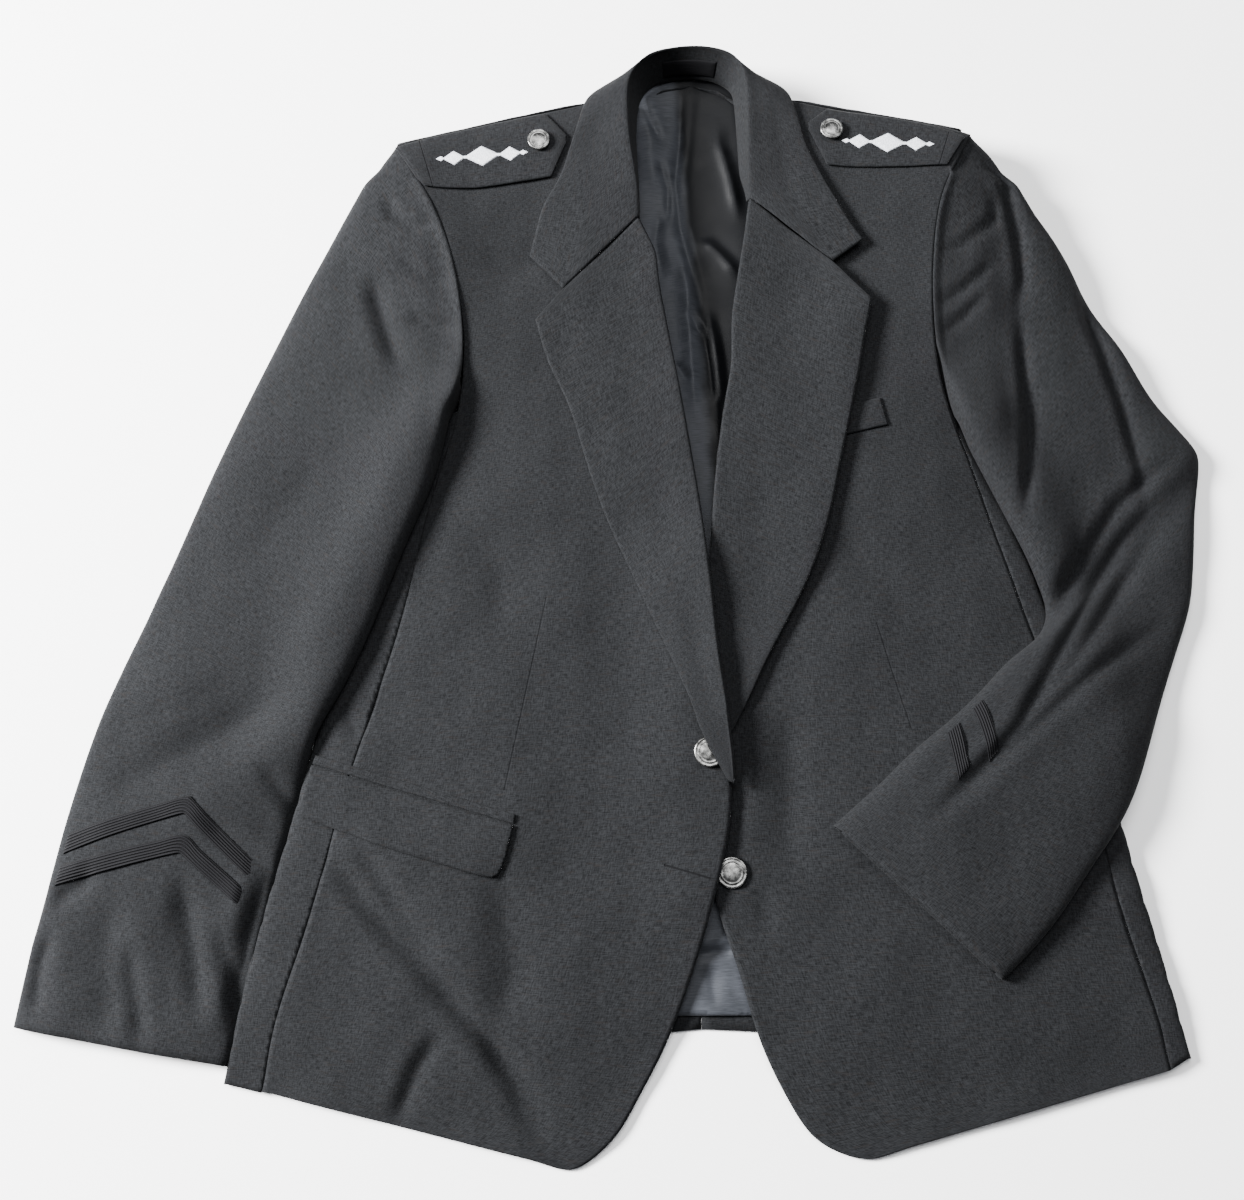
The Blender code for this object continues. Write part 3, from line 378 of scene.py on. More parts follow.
def patch_from(bm, island, longest, creases):
    """A face that isn't a net, smoothed and split fine, finest at the creases, with its weave as in plan."""
    others = [face for face in bm.faces if face not in island]
    bmesh.ops.delete(bm, geom=others, context="FACES")
    while True:
        coarse = [edge for edge in bm.edges if edge.calc_length() > longest * MM]
        if not coarse:
            break
        split(bm, coarse)
    ease(bm, SMOOTHING)
    split(bm, creased([edge for edge in bm.edges if edge.calc_length() > FINE * MM], creases))
    ease(bm, FINE_SMOOTHING)
    weave = bm.loops.layers.uv.new("weave")
    for face in bm.faces:
        for loop in face.loops:
            loop[weave].uv = loop.vert.co.xy
    return bm


def creased(edges, creases):
    """Those of the edges that lie in a crease or on its ridge."""
    if not edges:
        return []
    middles = np.array([((edge.verts[0].co + edge.verts[1].co) / (2 * MM) + MIDDLE)[:] for edge in edges])
    inside = np.zeros(len(edges), bool)
    for crease in creases:
        off, along = along_line(middles[:, 0], middles[:, 1], crease.line)
        u = off / crease.width
        inside |= (u > -TROUGH_EDGE) & (u < RIDGE_EDGE)
    return [edge for edge, used in zip(edges, inside) if used]


def subdivided(bm, levels):
    """The mesh of a net, subdivided so that it still goes through its own points."""
    mesh = bpy.data.meshes.new("net")
    bm.to_mesh(mesh)
    bm.free()
    made = bpy.data.objects.new("net", mesh)
    bpy.context.scene.collection.objects.link(made)
    smooth = made.modifiers.new("smooth", "SUBSURF")
    smooth.boundary_smooth = "ALL"
    wanted = points_of(mesh)
    for level in (1, 1, levels):
        smooth.levels = level
        smooth.render_levels = level
        result = bpy.data.meshes.new_from_object(made.evaluated_get(bpy.context.evaluated_depsgraph_get()))
        if level == levels:
            break
        put_points(mesh, points_of(mesh) + wanted - points_of(result)[: len(wanted)])
        mesh.update()
        bpy.data.meshes.remove(result)
        made.update_tag()
    bpy.data.objects.remove(made)
    return result


def points_of(mesh):
    """A mesh's points, one to a row."""
    points = np.empty(len(mesh.vertices) * 3)
    mesh.vertices.foreach_get("co", points)
    return points.reshape(-1, 3)


def put_points(mesh, points):
    mesh.vertices.foreach_set("co", points.ravel())
    mesh.update()


Crease = namedtuple("Crease", "line width depth")


def along_line(x, y, line):
    """How far places in plan are to the left of a bent line, and their share of the way along it."""
    spans = [math.dist(a, b) for a, b in zip(line, line[1:])]
    off = np.full_like(x, 1e6)
    along = np.zeros_like(x)
    run = 0
    for (x0, y0), (x1, y1), span in zip(line, line[1:], spans):
        step_x, step_y = (x1 - x0) / span, (y1 - y0) / span
        at = np.clip((x - x0) * step_x + (y - y0) * step_y, 0, span)
        far = np.hypot(x - x0 - at * step_x, y - y0 - at * step_y)
        closer = far < abs(off)
        off = np.where(closer, far * np.sign((y - y0) * step_x - (x - x0) * step_y), off)
        along = np.where(closer, (run + at) / sum(spans), along)
        run += span
    return off, along


def sunk(x, y, creases):
    """How far cloth has sunk at places in plan. A crease is a trough with a low ridge along its left."""
    total = np.zeros_like(x)
    for crease in creases:
        off, along = along_line(x, y, crease.line)
        u = off / crease.width
        ends = ramp(along, 0, CREASE_FADE) * ramp(1 - along, 0, CREASE_FADE)
        trough = np.exp(-(abs(u) ** CREASE_SHARPNESS))
        ridge = np.exp(-(abs((u - RIDGE_OFF) / RIDGE_WIDTH) ** CREASE_SHARPNESS))
        total += crease.depth * ends * (trough - RIDGE_SHARE * ridge)
    return total


def uneven(x, y):
    """The slight waviness of cloth that has been worn and folded, in millimetres."""
    total = np.zeros_like(x)
    for k in range(WAVES):
        turn = WAVE_TURN * k
        span = WAVE_LENGTH + WAVE_GROWTH * k
        along = x * math.cos(turn) + y * math.sin(turn)
        total += WAVINESS * span * np.sin(along * math.tau / span + WAVE_SHIFT * k)
    return total


def edge_distance(mesh, points):
    """How far each point of a cloth is from its cut edge, in millimetres."""
    bm = bmesh.new()
    bm.from_mesh(mesh)
    edge = [vert.index for vert in bm.verts if vert.is_boundary]
    bm.free()
    tree = KDTree(len(edge))
    for k in edge:
        tree.insert(points[k], k)
    tree.balance()
    return np.array([tree.find(point)[2] for point in points]) / MM


def let_out(mesh, points, reach):
    """The moves that let a cloth's edges out by that many millimetres, to meet its neighbour in the seam."""
    bm = bmesh.new()
    bm.from_mesh(mesh)
    moves = np.zeros_like(points)
    for vert in bm.verts:
        if reach and vert.is_boundary:
            inner = [e.other_vert(vert).co for e in vert.link_edges if not e.is_boundary]
            if inner:
                out = vert.co - sum(inner, Vector()) / len(inner)
                moves[vert.index] = out.normalized() * reach * MM
    bm.free()
    return moves


Cut = namedtuple("Cut", "width length area rests_on held")
CAD_CLOTH = 2.0
CLOTH = 1.3
WALL_MATCH = 0.002
RIM_TURN = 0.8
EDGE_ROLL = 0.55
EDGE_WIDTH = 3.5
SHARP_CORNER = 0.95
SMOOTHING = 14
FINE_SMOOTHING = 2
WAVES = 11
WAVINESS = 0.0034
WAVE_LENGTH = 24
WAVE_GROWTH = 8.5
WAVE_TURN = 2.4
WAVE_SHIFT = 1.7
TABLE_GAP = 2.0
FACING_UP = (0.1, 0.6)
CREASE_FADE = 0.3
CREASE_SHARPNESS = 1.6
RIDGE_SHARE = 0.3
RIDGE_OFF = 1.9
RIDGE_WIDTH = 1.2
TROUGH_EDGE = 1.5
RIDGE_EDGE = 3.2
FINE = 2.3


def make_cloth(
    node, material, creases=(), cad_wall=CAD_CLOTH, wall=CLOTH, facing="up", levels=3, longest=4.5,
    shape=None, roll=EDGE_ROLL, reach=0.0,
):
    """Cuts a cloth piece on its CAD form, presses its creases in, turns its edges down and thickens it."""
    bm, islands = faces_of(node, cad_wall)
    if facing == "down":
        islands.reverse()
    if facing == "around":
        islands.sort(key=lambda island: -sum(face.calc_area() for face in island))
    net = net_of(islands[0])
    if net is None and node in NETS_INSIDE:
        net = net_of(islands[1])
        net[:, :, :3] -= net[:, :, 3:] * cad_wall * MM
        net[:, :, 3:] *= -1
    if net is None:
        patch = patch_from(bm, islands[0], longest, () if facing == "down" else creases)
        mesh = bpy.data.meshes.new(node)
        patch.to_mesh(mesh)
        patch.free()
    else:
        bm.free()
        mesh = subdivided(grid_from(net), levels)
    points = points_of(mesh)
    normals = np.empty(len(points) * 3)
    mesh.vertices.foreach_get("normal", normals)
    normals = normals.reshape(-1, 3)
    x = points[:, 0] / MM + MIDDLE.x
    y = points[:, 1] / MM + MIDDLE.y
    points += let_out(mesh, points, reach)
    turned = roll * (1 - np.clip(edge_distance(mesh, points) / EDGE_WIDTH, 0, 1)) ** 2
    if facing != "down":
        lowest = np.minimum(points[:, 2], TABLE_GAP * MM)
        points[:, 2] -= ramp(normals[:, 2], *FACING_UP) * (sunk(x, y, creases) + uneven(x, y)) * MM
        points[:, 2] = np.maximum(points[:, 2], lowest)
    points -= normals * turned[:, None] * MM
    if shape:
        points = shape(points, x, y)
    put_points(mesh, points)
    return finish_cloth(node, mesh, material, wall)


def finish_cloth(node, mesh, material, wall):
    made = bpy.data.objects.new(f"{node}_cloth", mesh)
    bpy.context.scene.collection.objects.link(made)
    mesh.materials.clear()
    mesh.materials.append(material)
    mesh.polygons.foreach_set("use_smooth", [True] * len(mesh.polygons))
    thick = made.modifiers.new("wall", "SOLIDIFY")
    thick.thickness = wall * MM
    thick.offset = -1
    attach(made, "root")
    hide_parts(node)
    return made


NETS_INSIDE = ("sleeve_left_top",)
plain_worsted = worsted("worsted")
BACKS = {
    "back_left": Cut(0.31, 0.79, 0.16, ["table"], "laid"),
    "back_right": Cut(0.31, 0.79, 0.16, ["table"], "laid"),
}
for node, cut in BACKS.items():
    make_cloth(node, plain_worsted, facing="down", longest=14)


# Side bodies: narrow panels of the same worsted under the arms. Each turns round the jacket's edge from the
# back's seam and meets its front in a seam pressed open.
BODY_CREASES = [
    Crease([(-218, -172), (-183, -216), (-142, -260), (-97, -308), (-42, -365)], -7, 5.4),
    Crease([(-196, -166), (-143, -243), (-109, -281)], -6, 3.5),
    Crease([(-120, -302), (-141, -334), (-156, -375)], -6, 3.5),
    Crease([(-98, -300), (-75, -339), (-47, -390)], -7, 3.2),
    Crease([(-88, -183), (-76, -260), (-86, -323)], -12, 2.7),
    Crease([(-203, -78), (-187, -109)], -7, 1.9),
    Crease([(121, -70), (118, -140), (117, -215)], -13, 2.7),
    Crease([(96, -205), (103, -244)], -8, 1.4),
    Crease([(-120, 60), (-92, 20), (-84, -40)], -16, 2.2),
    Crease([(150, 60), (190, 10), (215, -30)], -16, 1.9),
    Crease([(-112, 262), (-84, 250), (-60, 252)], 9, 1.5),
]
SIDES = {
    "side_left": Cut(0.075, 0.5, 0.035, ["back_left"], "folded"),
    "side_right": Cut(0.075, 0.48, 0.03, ["back_right"], "folded"),
}
SIDE_TOP = 127
SIDE_FADE = 40
SIDE_RISE = 15
SIDE_LEAN = 5.5


def to_armhole(points, x, y):
    """Carries the side body's top on along the front's edge, up into the armhole's seam."""
    share = ramp(y, SIDE_TOP - SIDE_FADE, SIDE_TOP)
    points[:, 0] += np.sign(MIDDLE.x - x) * SIDE_LEAN * share * MM
    points[:, 1] += SIDE_RISE * share * MM
    return points


for node, cut in SIDES.items():
    make_cloth(
        node, plain_worsted, BODY_CREASES, facing="around", shape=to_armhole, roll=0.1, reach=0.35
    )


# Fronts: two panels of the same worsted, cut whole from shoulder to hem, the left one lapped over the right.
# Each has a long chest dart sewn inside and pressed flat, and the left one has a worked buttonhole at the
# lower button.
Line = namedtuple("Line", "x0 y0 x1 y1 width dark sunk")
left_worsted = worsted(
    "worsted_left",
    [
        Line(-55, -3, -83, -142, 0.8, 0.4, 0.9),
        Line(30, -195, 62, -204.5, 0.8, 0.9, 3.0),
    ],
)
right_worsted = worsted("worsted_right", [Line(185, -22, 207, -99, 0.8, 0.4, 0.9)])
FRONTS = {
    "front_left": (left_worsted, Cut(0.32, 0.8, 0.163, ["back_left", "front_right"], "laid")),
    "front_right": (right_worsted, Cut(0.31, 0.79, 0.161, ["back_right"], "laid")),
}
for node, (material, cut) in FRONTS.items():
    make_cloth(node, material, BODY_CREASES, roll=0.12)


# Lapels: the facings, cut of the same worsted and turned out over the fronts. Each rolls softly from the
# collar down to the upper button, and its long edge is pressed flat.
LAPELS = {
    "lapel_left": Cut(0.11, 0.44, 0.027, ["front_left"], "folded"),
    "lapel_right": Cut(0.12, 0.43, 0.031, ["front_right"], "folded"),
}
for node, cut in LAPELS.items():
    make_cloth(node, plain_worsted, BODY_CREASES, reach=0.2)


# Collar: one piece of the same worsted, sewn round the neck. It stands up inside it, rolls over, and falls
# on the fronts and the shoulders.
make_cloth("collar", plain_worsted, BODY_CREASES, reach=0.2)


# Neck tape: a short bare ribbon of black ribbed cotton, sewn flat inside the collar's stand at the middle of
# the back.
tape = Finish("neck_tape", 0.8)
tape.shader.inputs["Specular IOR Level"].default_value = 0.1
ribs = tape.on_cloth.grain(0.0006, (0.05, 1.0))
tape.feed("Base Color", ribs.blend((0.001, 0.001, 0.0012, 1), (0.004, 0.004, 0.005, 1)))
tape.relief(ribs, 0.0003)
TAPE_STRETCH = 1.36
STAND_CURVE = 0.0035


def along_stand(points, x, y):
    """Lengthens the tape both ways along the curve of the stand."""
    off = (x - x.mean()) * (TAPE_STRETCH - 1)
    points[:, 0] += off * MM
    points[:, 1] -= STAND_CURVE * (x - x.mean()) ** 2 * (TAPE_STRETCH**2 - 1) * MM
    return points


make_cloth("neck_tape", tape.material, cad_wall=1.0, wall=0.6, shape=along_stand)


# Lining: charcoal satin over the inside of the back, with an ease pleat down its middle and its top sewn to
# the collar's stand. It shows in the neck, where it has dropped into loose folds and past the pleat is
# painted nearly black as painted shade, and between the fronts at the hem.
satin = Finish("satin", 0.55)
satin.shader.inputs["Specular IOR Level"].default_value = 0.1
fine = satin.on_cloth.grain(0.0009, (0.1, 1.6))
patchy = satin.on_cloth.grain(0.02)
lustre = (fine * 0.6 + patchy * 0.4).band(0.3, 0.7)
lustre = lustre.blend((0.015, 0.0165, 0.0195, 1), (0.034, 0.0365, 0.043, 1))
# Painted shade: from the middle of the back upwards, right of a line slanting a little past the pleat, the
# satin's colour goes nearly black, where the neck's lining lies in shade.
SHADE_SLANT = 0.077
SHADE_EDGE = (0.068, 0.078)
SHADE_START = (-0.1, 0.0)
slant = satin.on_piece.part(0) + satin.on_piece.part(1) * SHADE_SLANT
painted_shade = (slant + patchy * 0.012).band(*SHADE_EDGE) * satin.on_piece.part(1).band(*SHADE_START)
satin.feed("Base Color", (painted_shade * 0.93).blend(lustre, (0.0008, 0.0009, 0.0012, 1)))
satin.feed("Roughness", patchy.band(0.3, 0.7) * 0.1 + 0.5)
satin.relief(fine, 0.00012)
LINING_CREASES = [
    Crease([(50, 424), (47, 383), (42, 340), (45, 300), (53, 262), (63, 215)], 4, 4.3),
    Crease([(24, 412), (22, 362), (26, 322)], 10, -5.1),
    Crease([(20, 396), (31, 370)], 3, 2.7),
    Crease([(27, 362), (36, 332), (36, 296)], 3.5, 2.7),
    Crease([(30, 318), (26, 286), (33, 250)], 4, 2.7),
    Crease([(44, 286), (50, 245), (52, 196), (56, 130)], 5, -4.5),
    Crease([(40, 188), (52, 168)], 3, 2.7),
    Crease([(50, 230), (61, 206)], 3, 2.7),
    Crease([(62, 216), (67, 185), (70, 150)], 3.5, 3.3),
    Crease([(72, 388), (84, 342), (92, 300)], 5, -3.9),
    Crease([(60, 290), (76, 274), (92, 254)], 5, -3.9),
    Crease([(66, 236), (71, 195), (76, 145)], 4, -3.6),
    Crease([(48, -257), (64, -254), (80, -253)], 3.5, 3),
    Crease([(60, -262), (66, -294)], 5, 1.4),
]
NECK_MIDDLE = (53, 330)
NECK_SEAM = (368, 402)
NECK_REACH = 15
NECK_RISE = 2.5


def under_stand(points, x, y):
    """Draws the top of the lining outwards and up to its seam with the collar's stand."""
    out = np.stack([x - NECK_MIDDLE[0], y - NECK_MIDDLE[1]], 1)
    out /= np.linalg.norm(out, axis=1)[:, None] + 1e-6
    share = ramp(y, *NECK_SEAM)
    points[:, :2] += out * (NECK_REACH * share)[:, None] * MM
    points[:, 2] += NECK_RISE * share * MM
    return points


make_cloth(
    "lining_back", satin.material, LINING_CREASES, cad_wall=1.2, wall=0.7, longest=5,
    shape=under_stand,
)


# Sleeves: each is a top and an under piece of the same worsted, sewn to a tube that lies flat. They have
# buckled under the arm and at the bent elbow, and the right forearm is folded back over the body.
LEFT_SLEEVE_CREASES = [
    Crease([(-193, 255), (-178, 205), (-164, 165)], -7.2, 5.3),
    Crease([(-182, 314), (-175, 294), (-158, 283), (-138, 286)], 4.8, 3.8),
    Crease([(-164, 214), (-144, 206), (-121, 203)], 5.6, 3.1),
    Crease([(-172, 262), (-150, 244), (-126, 240)], 4.8, 2.2),
    Crease([(-227, -65), (-304, -111), (-380, -151)], -14, 3.4),
    Crease([(-270, -60), (-318, -84), (-352, -92)], -12, 2.2),
    Crease([(-366, -200), (-385, -212), (-402, -224)], -6.4, 4.2),
    Crease([(-312, -195), (-299, -249), (-292, -310)], -7.2, 4.9),
    Crease([(-344, -240), (-336, -280), (-326, -322)], -6.4, 4.2),
    Crease([(-287, -232), (-274, -270), (-261, -310)], -7.2, 4.5),
    Crease([(-396, -236), (-404, -265), (-404, -300)], -5.6, 3.4),
    Crease([(-303, -156), (-272, -182), (-240, -208)], 5.6, 3.1),
    Crease([(-252, -190), (-266, -249), (-271, -316)], -6.4, 4.9),
    Crease([(-262, -120), (-240, -150), (-230, -172)], -5.6, 2.8),
    Crease([(-215, 130), (-250, 60), (-290, -10)], -20, 2.2),
    Crease([(-362, -212), (-356, -255), (-347, -316)], -17, 5),
    Crease([(-318, -205), (-312, -255), (-312, -314)], -13, 3.4),
]
RIGHT_SLEEVE_CREASES = [
    Crease([(274, 352), (295, 328), (304, 282), (306, 246), (300, 211)], -5, 5.0),
    Crease([(302, 235), (304, 172), (305, 129), (299, 84), (292, 40)], -5, 4.6),
    Crease([(237, 262), (259, 270), (285, 291), (288, 322)], 4.5, 2.6),
    Crease([(236, 222), (258, 233), (286, 260)], 4.5, 2.8),
    Crease([(237, 198), (257, 211), (280, 236)], 4.5, 2.4),
    Crease([(350, 262), (356, 217), (364, 194), (376, 153), (387, 96), (389, 55)], -5.5, 4.2),
    Crease([(314, 176), (309, 140), (301, 100)], -7, 1.6),
    Crease([(340, 60), (330, 20), (316, -18)], -8, 2.4),
    Crease([(420, 114), (366, 66), (308, -20)], -6, 3.6),
    Crease([(414, 90), (369, 40), (333, -14), (281, -99), (232, -148), (194, -180)], -5.5, 3.6),
    Crease([(410, -10), (373, -36), (335, -62), (264, -124), (206, -176)], -6.5, 3.6),
    Crease([(404, 60), (360, -3), (320, -57), (262, -112)], -5.5, 2.4),
]
SLEEVES = {
    "sleeve_left_top": Cut(0.21, 0.7, 0.117, ["sleeve_left_under"], "laid"),
    "sleeve_left_under": Cut(0.16, 0.68, 0.086, ["table"], "laid"),
    "sleeve_right_top": Cut(0.2, 0.7, 0.1005, ["sleeve_right_under"], "folded"),
    "sleeve_right_under": Cut(0.15, 0.67, 0.0705, ["table", "front_right"], "folded"),
}
HEAD_Y = 322
HEAD_FADE = 14
LEFT_HEAD = 4.5
RIGHT_HEAD = 6.5
LEFT_ARMHOLE = [
    (170, -119.5), (180, -119), (200, -119.4), (220, -121.4), (258, -129), (296, -142.5), (316, -153.6),
]
RIGHT_ARMHOLE = [
    (188, 236.6), (206, 234.8), (224, 234.3), (243, 234.7), (285, 239), (306, 243.4), (343, 256),
]
ARMHOLE_LIFT = 2.2
ARMHOLE_WIDTH = 8
ARMPIT = (165, 200)
INNER_EDGE = (-120, -226, 0.238)
INNER_FADE = (-60, -4)
INNER_LENGTH = (85, 135)
INNER_MOVE = 4.6


def over_armhole(points, x, y, armhole):
    """Lifts a sleeve's edge over the front's edge, where it is sewn in."""
    off = abs(x - np.interp(y, *zip(*armhole)))
    points[:, 2] += ARMHOLE_LIFT * (1 - ramp(off, 0, ARMHOLE_WIDTH)) * ramp(y, *ARMPIT) * MM


def left_set(points, x, y):
    """Lets the left sleeve's head up to the shoulder, and its inner edge lie against the body."""
    edge_y, edge_x, slope = INNER_EDGE
    inner = ramp(x - edge_x - slope * (y - edge_y), *INNER_FADE)
    points[:, 0] += INNER_MOVE * ramp(-y, *INNER_LENGTH) * inner * MM
    points[:, 0] += LEFT_HEAD * ramp(y, HEAD_Y, HEAD_Y + HEAD_FADE) * MM
    over_armhole(points, x, y, LEFT_ARMHOLE)
    return points


def right_set(points, x, y):
    """Lets the right sleeve's head up to the shoulder."""
    points[:, 0] -= RIGHT_HEAD * ramp(y, HEAD_Y, HEAD_Y + HEAD_FADE) * MM
    over_armhole(points, x, y, RIGHT_ARMHOLE)
    return points


for node, cut in SLEEVES.items():
    creases = LEFT_SLEEVE_CREASES if "left" in node else RIGHT_SLEEVE_CREASES
    facing, longest = ("up", 5) if "top" in node else ("down", 9)
    make_cloth(
        node, plain_worsted, creases, facing=facing, longest=longest, reach=0.7, roll=0.25,
        shape=left_set if "left" in node else right_set,
    )


# Epaulettes: shoulder straps of two layers of worsted. Each is sewn into the sleeve's seam, stitched across
# beside it, and held near the collar by its button.
epaulette_worsted = worsted(
    "worsted_epaulette",
    [Line(-143, 311, -157, 358, 0.6, 0.6, 2.5), Line(241, 328, 252, 362, 0.6, 0.6, 2.5)],
)
EPAULETTES = {
    "left": Cut(0.05, 0.13, 0.006, ["front_left"], "laid"),
    "right": Cut(0.05, 0.13, 0.0047, ["front_right"], "laid"),
}
epaulettes = {
    side: make_cloth(f"epaulette_{side}", epaulette_worsted) for side, cut in EPAULETTES.items()
}


# Embroidery: a plain row of lozenges on each epaulette, joined by narrow bars. It is padded satin stitch in
# white silk, its threads laid across the strap.
silk = Finish("silk", 0.42)
STITCH_PITCH = 0.00055
stitches = (silk.on_cloth.part(0) * (math.tau / STITCH_PITCH)).math("SINE", 0.0) * 0.5 + 0.5
strands = silk.on_cloth.grain(0.0012, (2.0, 0.4))
# Partly painted light: each thread is painted near white along its crown and dark blue-grey where it meets
# the next, as painted highlight and painted shade; the strands add random streaks.
painted_sheen_and_shade = (stitches * 0.4 + strands * 0.6).band(0.2, 0.6)
silk.feed("Base Color", painted_sheen_and_shade.blend((0.20, 0.22, 0.27, 1), (0.72, 0.73, 0.76, 1)))
silk.relief(stitches + strands, 0.00025)
Lozenge = namedtuple("Lozenge", "along half_length half_height rise")
LOZENGES = [
    Lozenge(0, 14, 8.5, 1.0),
    Lozenge(-21.5, 9, 6, 0.9),
    Lozenge(21.5, 9, 6, 0.9),
    Lozenge(-31.5, 4, 2.2, 0.6),
    Lozenge(31.5, 4, 2.2, 0.6),
    Lozenge(-12.5, 9, 1.3, 0.5),
    Lozenge(12.5, 9, 1.3, 0.5),
]
LOZENGE_CELLS = 12
LOZENGE_LIFT = 0.15
THREADS = 0.3
ABOVE = 100
Row = namedtuple("Row", "side x y turn")
for row in (Row("left", -107, 340, 6.0), Row("right", 204, 351, -5.0)):
    bm = bmesh.new()
    bm.from_mesh(epaulettes[row.side].data)
    strap = BVHTree.FromBMesh(bm)
    bm.free()
    bm = bmesh.new()
    weave = bm.loops.layers.uv.new("weave")
    axis = Vector((math.cos(math.radians(row.turn)), math.sin(math.radians(row.turn)), 0))
    cross = Vector((-axis.y, axis.x, 0))
    for lozenge in LOZENGES:
        grid = bmesh.ops.create_grid(bm, x_segments=LOZENGE_CELLS, y_segments=LOZENGE_CELLS, size=1)["verts"]
        for vert in grid:
            u, v = vert.co.x, vert.co.y
            along = lozenge.along + lozenge.half_length * (u + v) / 2
            up = lozenge.half_height * (v - u) / 2
            spot = Vector((row.x, row.y, 0)) + axis * along + cross * up
            ground = strap.ray_cast(place(spot.x, spot.y, ABOVE), Vector((0, 0, -1)))[0]
            rise = LOZENGE_LIFT + lozenge.rise * (1 - max(abs(u), abs(v)) ** 4)
            vert.co = ground + Vector((0, 0, rise * MM))
            for loop in vert.link_loops:
                loop[weave].uv = (along * MM, up * MM)
    made = add_piece(f"epaulette_{row.side}_embroidery", bm, silk.material)
    made.data.polygons.foreach_set("use_smooth", [True] * len(made.data.polygons))
    thick = made.modifiers.new("threads", "SOLIDIFY")
    thick.thickness = THREADS * MM
    thick.offset = -1
    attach(made, "root")


# Pockets: the hip pocket has a narrow jet of worsted, and under it a flap that hangs over the opening. The
# breast pocket has only a narrow welt, sewn on half under the right lapel.
make_cloth("pocket_flap_left", plain_worsted, BODY_CREASES)
make_cloth("pocket_jet_left", plain_worsted, BODY_CREASES, cad_wall=1.4, wall=1.0)
make_cloth("breast_welt", plain_worsted, BODY_CREASES, cad_wall=1.4, wall=1.0)


# Braid: flat black mohair braid, woven with six ribs along it. Two bands of it are sewn round each sleeve
# above the cuff.
RIB_PITCH = 0.0021
BRAID_WIDTH = 0.0125
BRAID_PRESS = 0.7


def mohair(name, across):
    """Ribbed braid; across is the weave's axis that the ribs lie side by side on."""
    braid = Finish(name, 0.75)
    braid.shader.inputs["Specular IOR Level"].default_value = 0.08
    ribs = (braid.on_cloth.part(across) * (math.tau / RIB_PITCH)).math("SINE", 0.0) * 0.5 + 0.5
    plait = braid.on_cloth.grain(0.0012)
    # Partly painted light: the colour is lighter on the crown of each rib and near black between ribs, as
    # painted shade in the grooves; the plait adds random tone.
    shade = ribs * 0.7 + plait * 0.3
    braid.feed("Base Color", shade.blend((0.0006, 0.0006, 0.0008, 1), (0.0075, 0.0075, 0.0088, 1)))
    braid.relief(ribs + plait * 0.3, 0.0007)
    return braid.material


def sewn_flat(points, x, y):
    """Draws the braid down onto the sleeve."""
    points[:, 2] -= BRAID_PRESS * MM
    return points


long_braid = mohair("braid", 1)
short_braid = mohair("braid_short", 0)
Band = namedtuple("Band", "under material creases length area")
LONG_BAND = Band("sleeve_left_top", long_braid, LEFT_SLEEVE_CREASES, 0.155, 0.00193)
SHORT_BAND = Band("sleeve_right_top", short_braid, RIGHT_SLEEVE_CREASES, 0.038, 0.000373)
BRAIDS = {
    "braid_left_upper": LONG_BAND,
    "braid_left_lower": LONG_BAND,
    "braid_right_upper": SHORT_BAND,
    "braid_right_lower": SHORT_BAND,
}
for node, band in BRAIDS.items():
    cut = Cut(BRAID_WIDTH, band.length, band.area, [f"{band.under}_cloth"], "laid")
    make_cloth(node, band.material, band.creases, cad_wall=1.0, wall=0.8, levels=4, shape=sewn_flat)


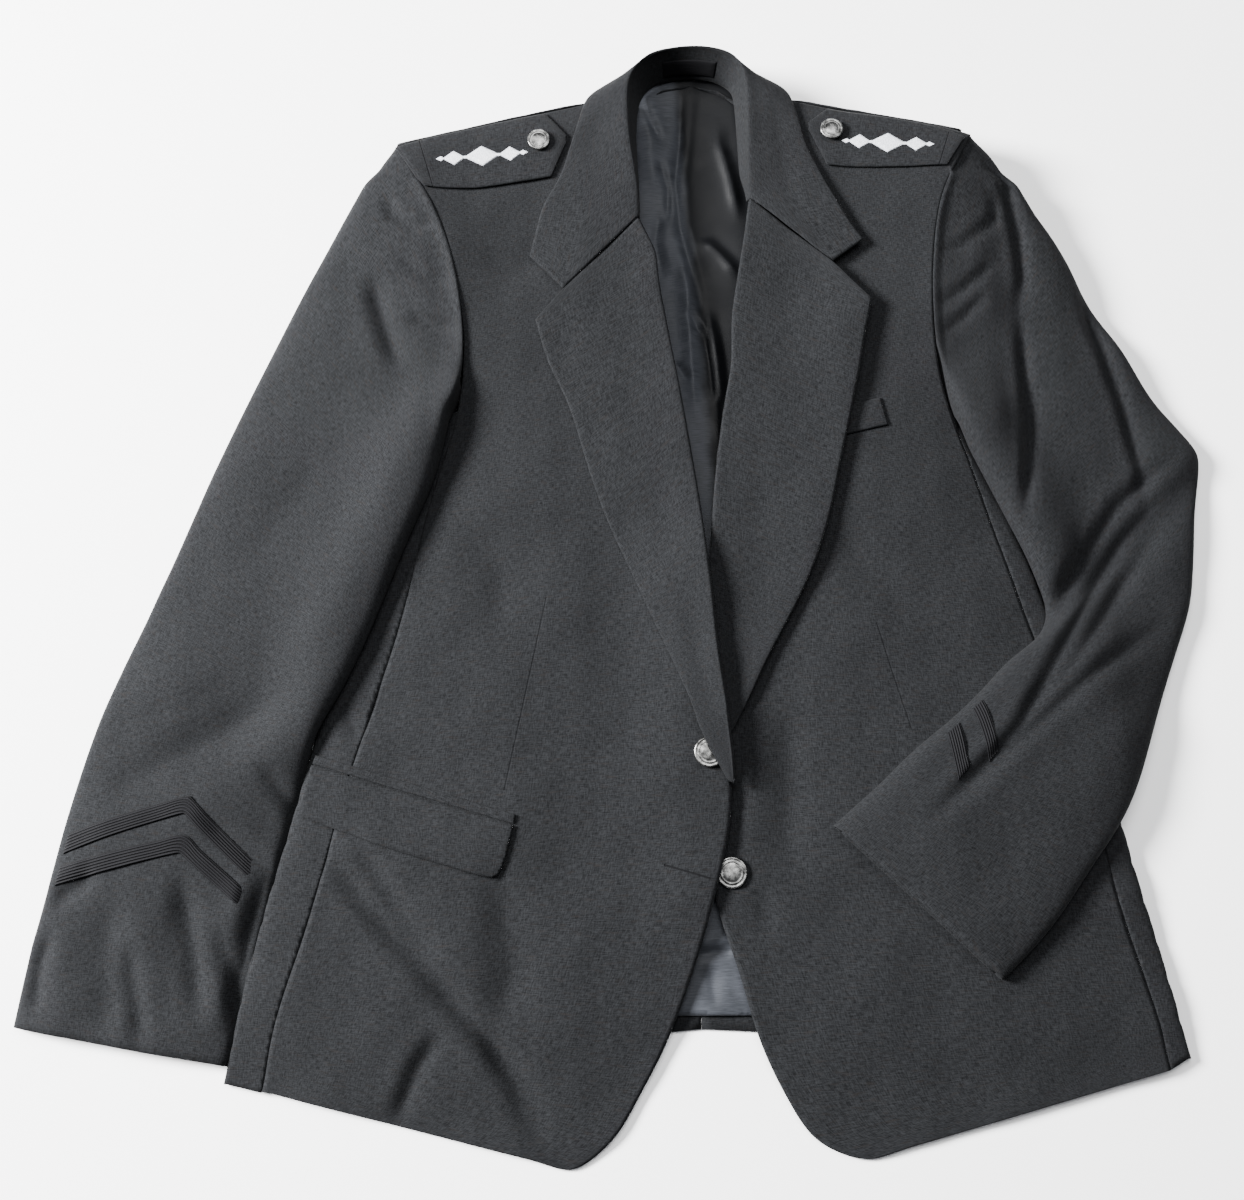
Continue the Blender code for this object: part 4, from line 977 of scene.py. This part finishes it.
# Buttons: silvered metal, stamped with a low rim, a plain ring and a domed face. Two close the fronts, and
# one holds each epaulette.
silver = Finish("silver", 0.32, 1.0)
worn = silver.on_piece.grain(0.004)
silver.feed("Base Color", worn.band(0.35, 0.7).blend((0.05, 0.05, 0.049, 1), (0.22, 0.22, 0.215, 1)))
silver.feed("Roughness", worn * 0.25 + 0.22)
Turning = namedtuple("Turning", "radius height")
BUTTON_PROFILE = [
    Turning(0.0, 0.97),
    Turning(0.3, 0.93),
    Turning(0.55, 0.82),
    Turning(0.63, 0.74),
    Turning(0.66, 0.79),
    Turning(0.72, 0.76),
    Turning(0.78, 0.66),
    Turning(0.84, 0.70),
    Turning(0.90, 0.76),
    Turning(0.96, 0.68),
    Turning(1.0, 0.45),
    Turning(0.96, 0.25),
    Turning(0.80, 0.10),
    Turning(0.3, 0.0),
    Turning(0.0, 0.0),
]
BUTTON_TURNS = 56
for node, radius, height in (
    ("button_front_upper", 11.2, 4.0),
    ("button_front_lower", 11.2, 4.0),
    ("button_shoulder_left", 8.8, 3.8),
    ("button_shoulder_right", 8.8, 3.8),
):
    cad = bmesh.new()
    cad.from_mesh(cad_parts[node].data)
    bmesh.ops.remove_doubles(cad, verts=cad.verts, dist=0.00001)
    stock = np.array([vert.co[:] for vert in cad.verts])
    cad.free()
    centre = stock.mean(0)
    axis = np.linalg.svd(stock - centre)[2][2]
    axis = axis * np.sign(axis[2])
    base = centre + axis * ((stock - centre) @ axis).min()
    bm = bmesh.new()
    profile = [(turn.radius * radius * MM, 0, turn.height * height * MM) for turn in BUTTON_PROFILE]
    ring = [bm.verts.new(point) for point in profile]
    edges = [bm.edges.new(pair) for pair in zip(ring, ring[1:])]
    bmesh.ops.spin(
        bm, geom=ring + edges, cent=(0, 0, 0), axis=(0, 0, 1), angle=math.tau, steps=BUTTON_TURNS,
        use_merge=True,
    )
    bmesh.ops.remove_doubles(bm, verts=bm.verts, dist=0.00001)
    bmesh.ops.recalc_face_normals(bm, faces=bm.faces)
    turned = Vector((0, 0, 1)).rotation_difference(Vector(axis)).to_matrix()
    bmesh.ops.rotate(bm, verts=bm.verts, matrix=turned)
    bmesh.ops.translate(bm, verts=bm.verts, vec=base)
    made = add_piece(f"{node}_metal", bm, silver.material)
    made.data.polygons.foreach_set("use_smooth", [True] * len(made.data.polygons))
    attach(made, "root")
    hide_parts(node)
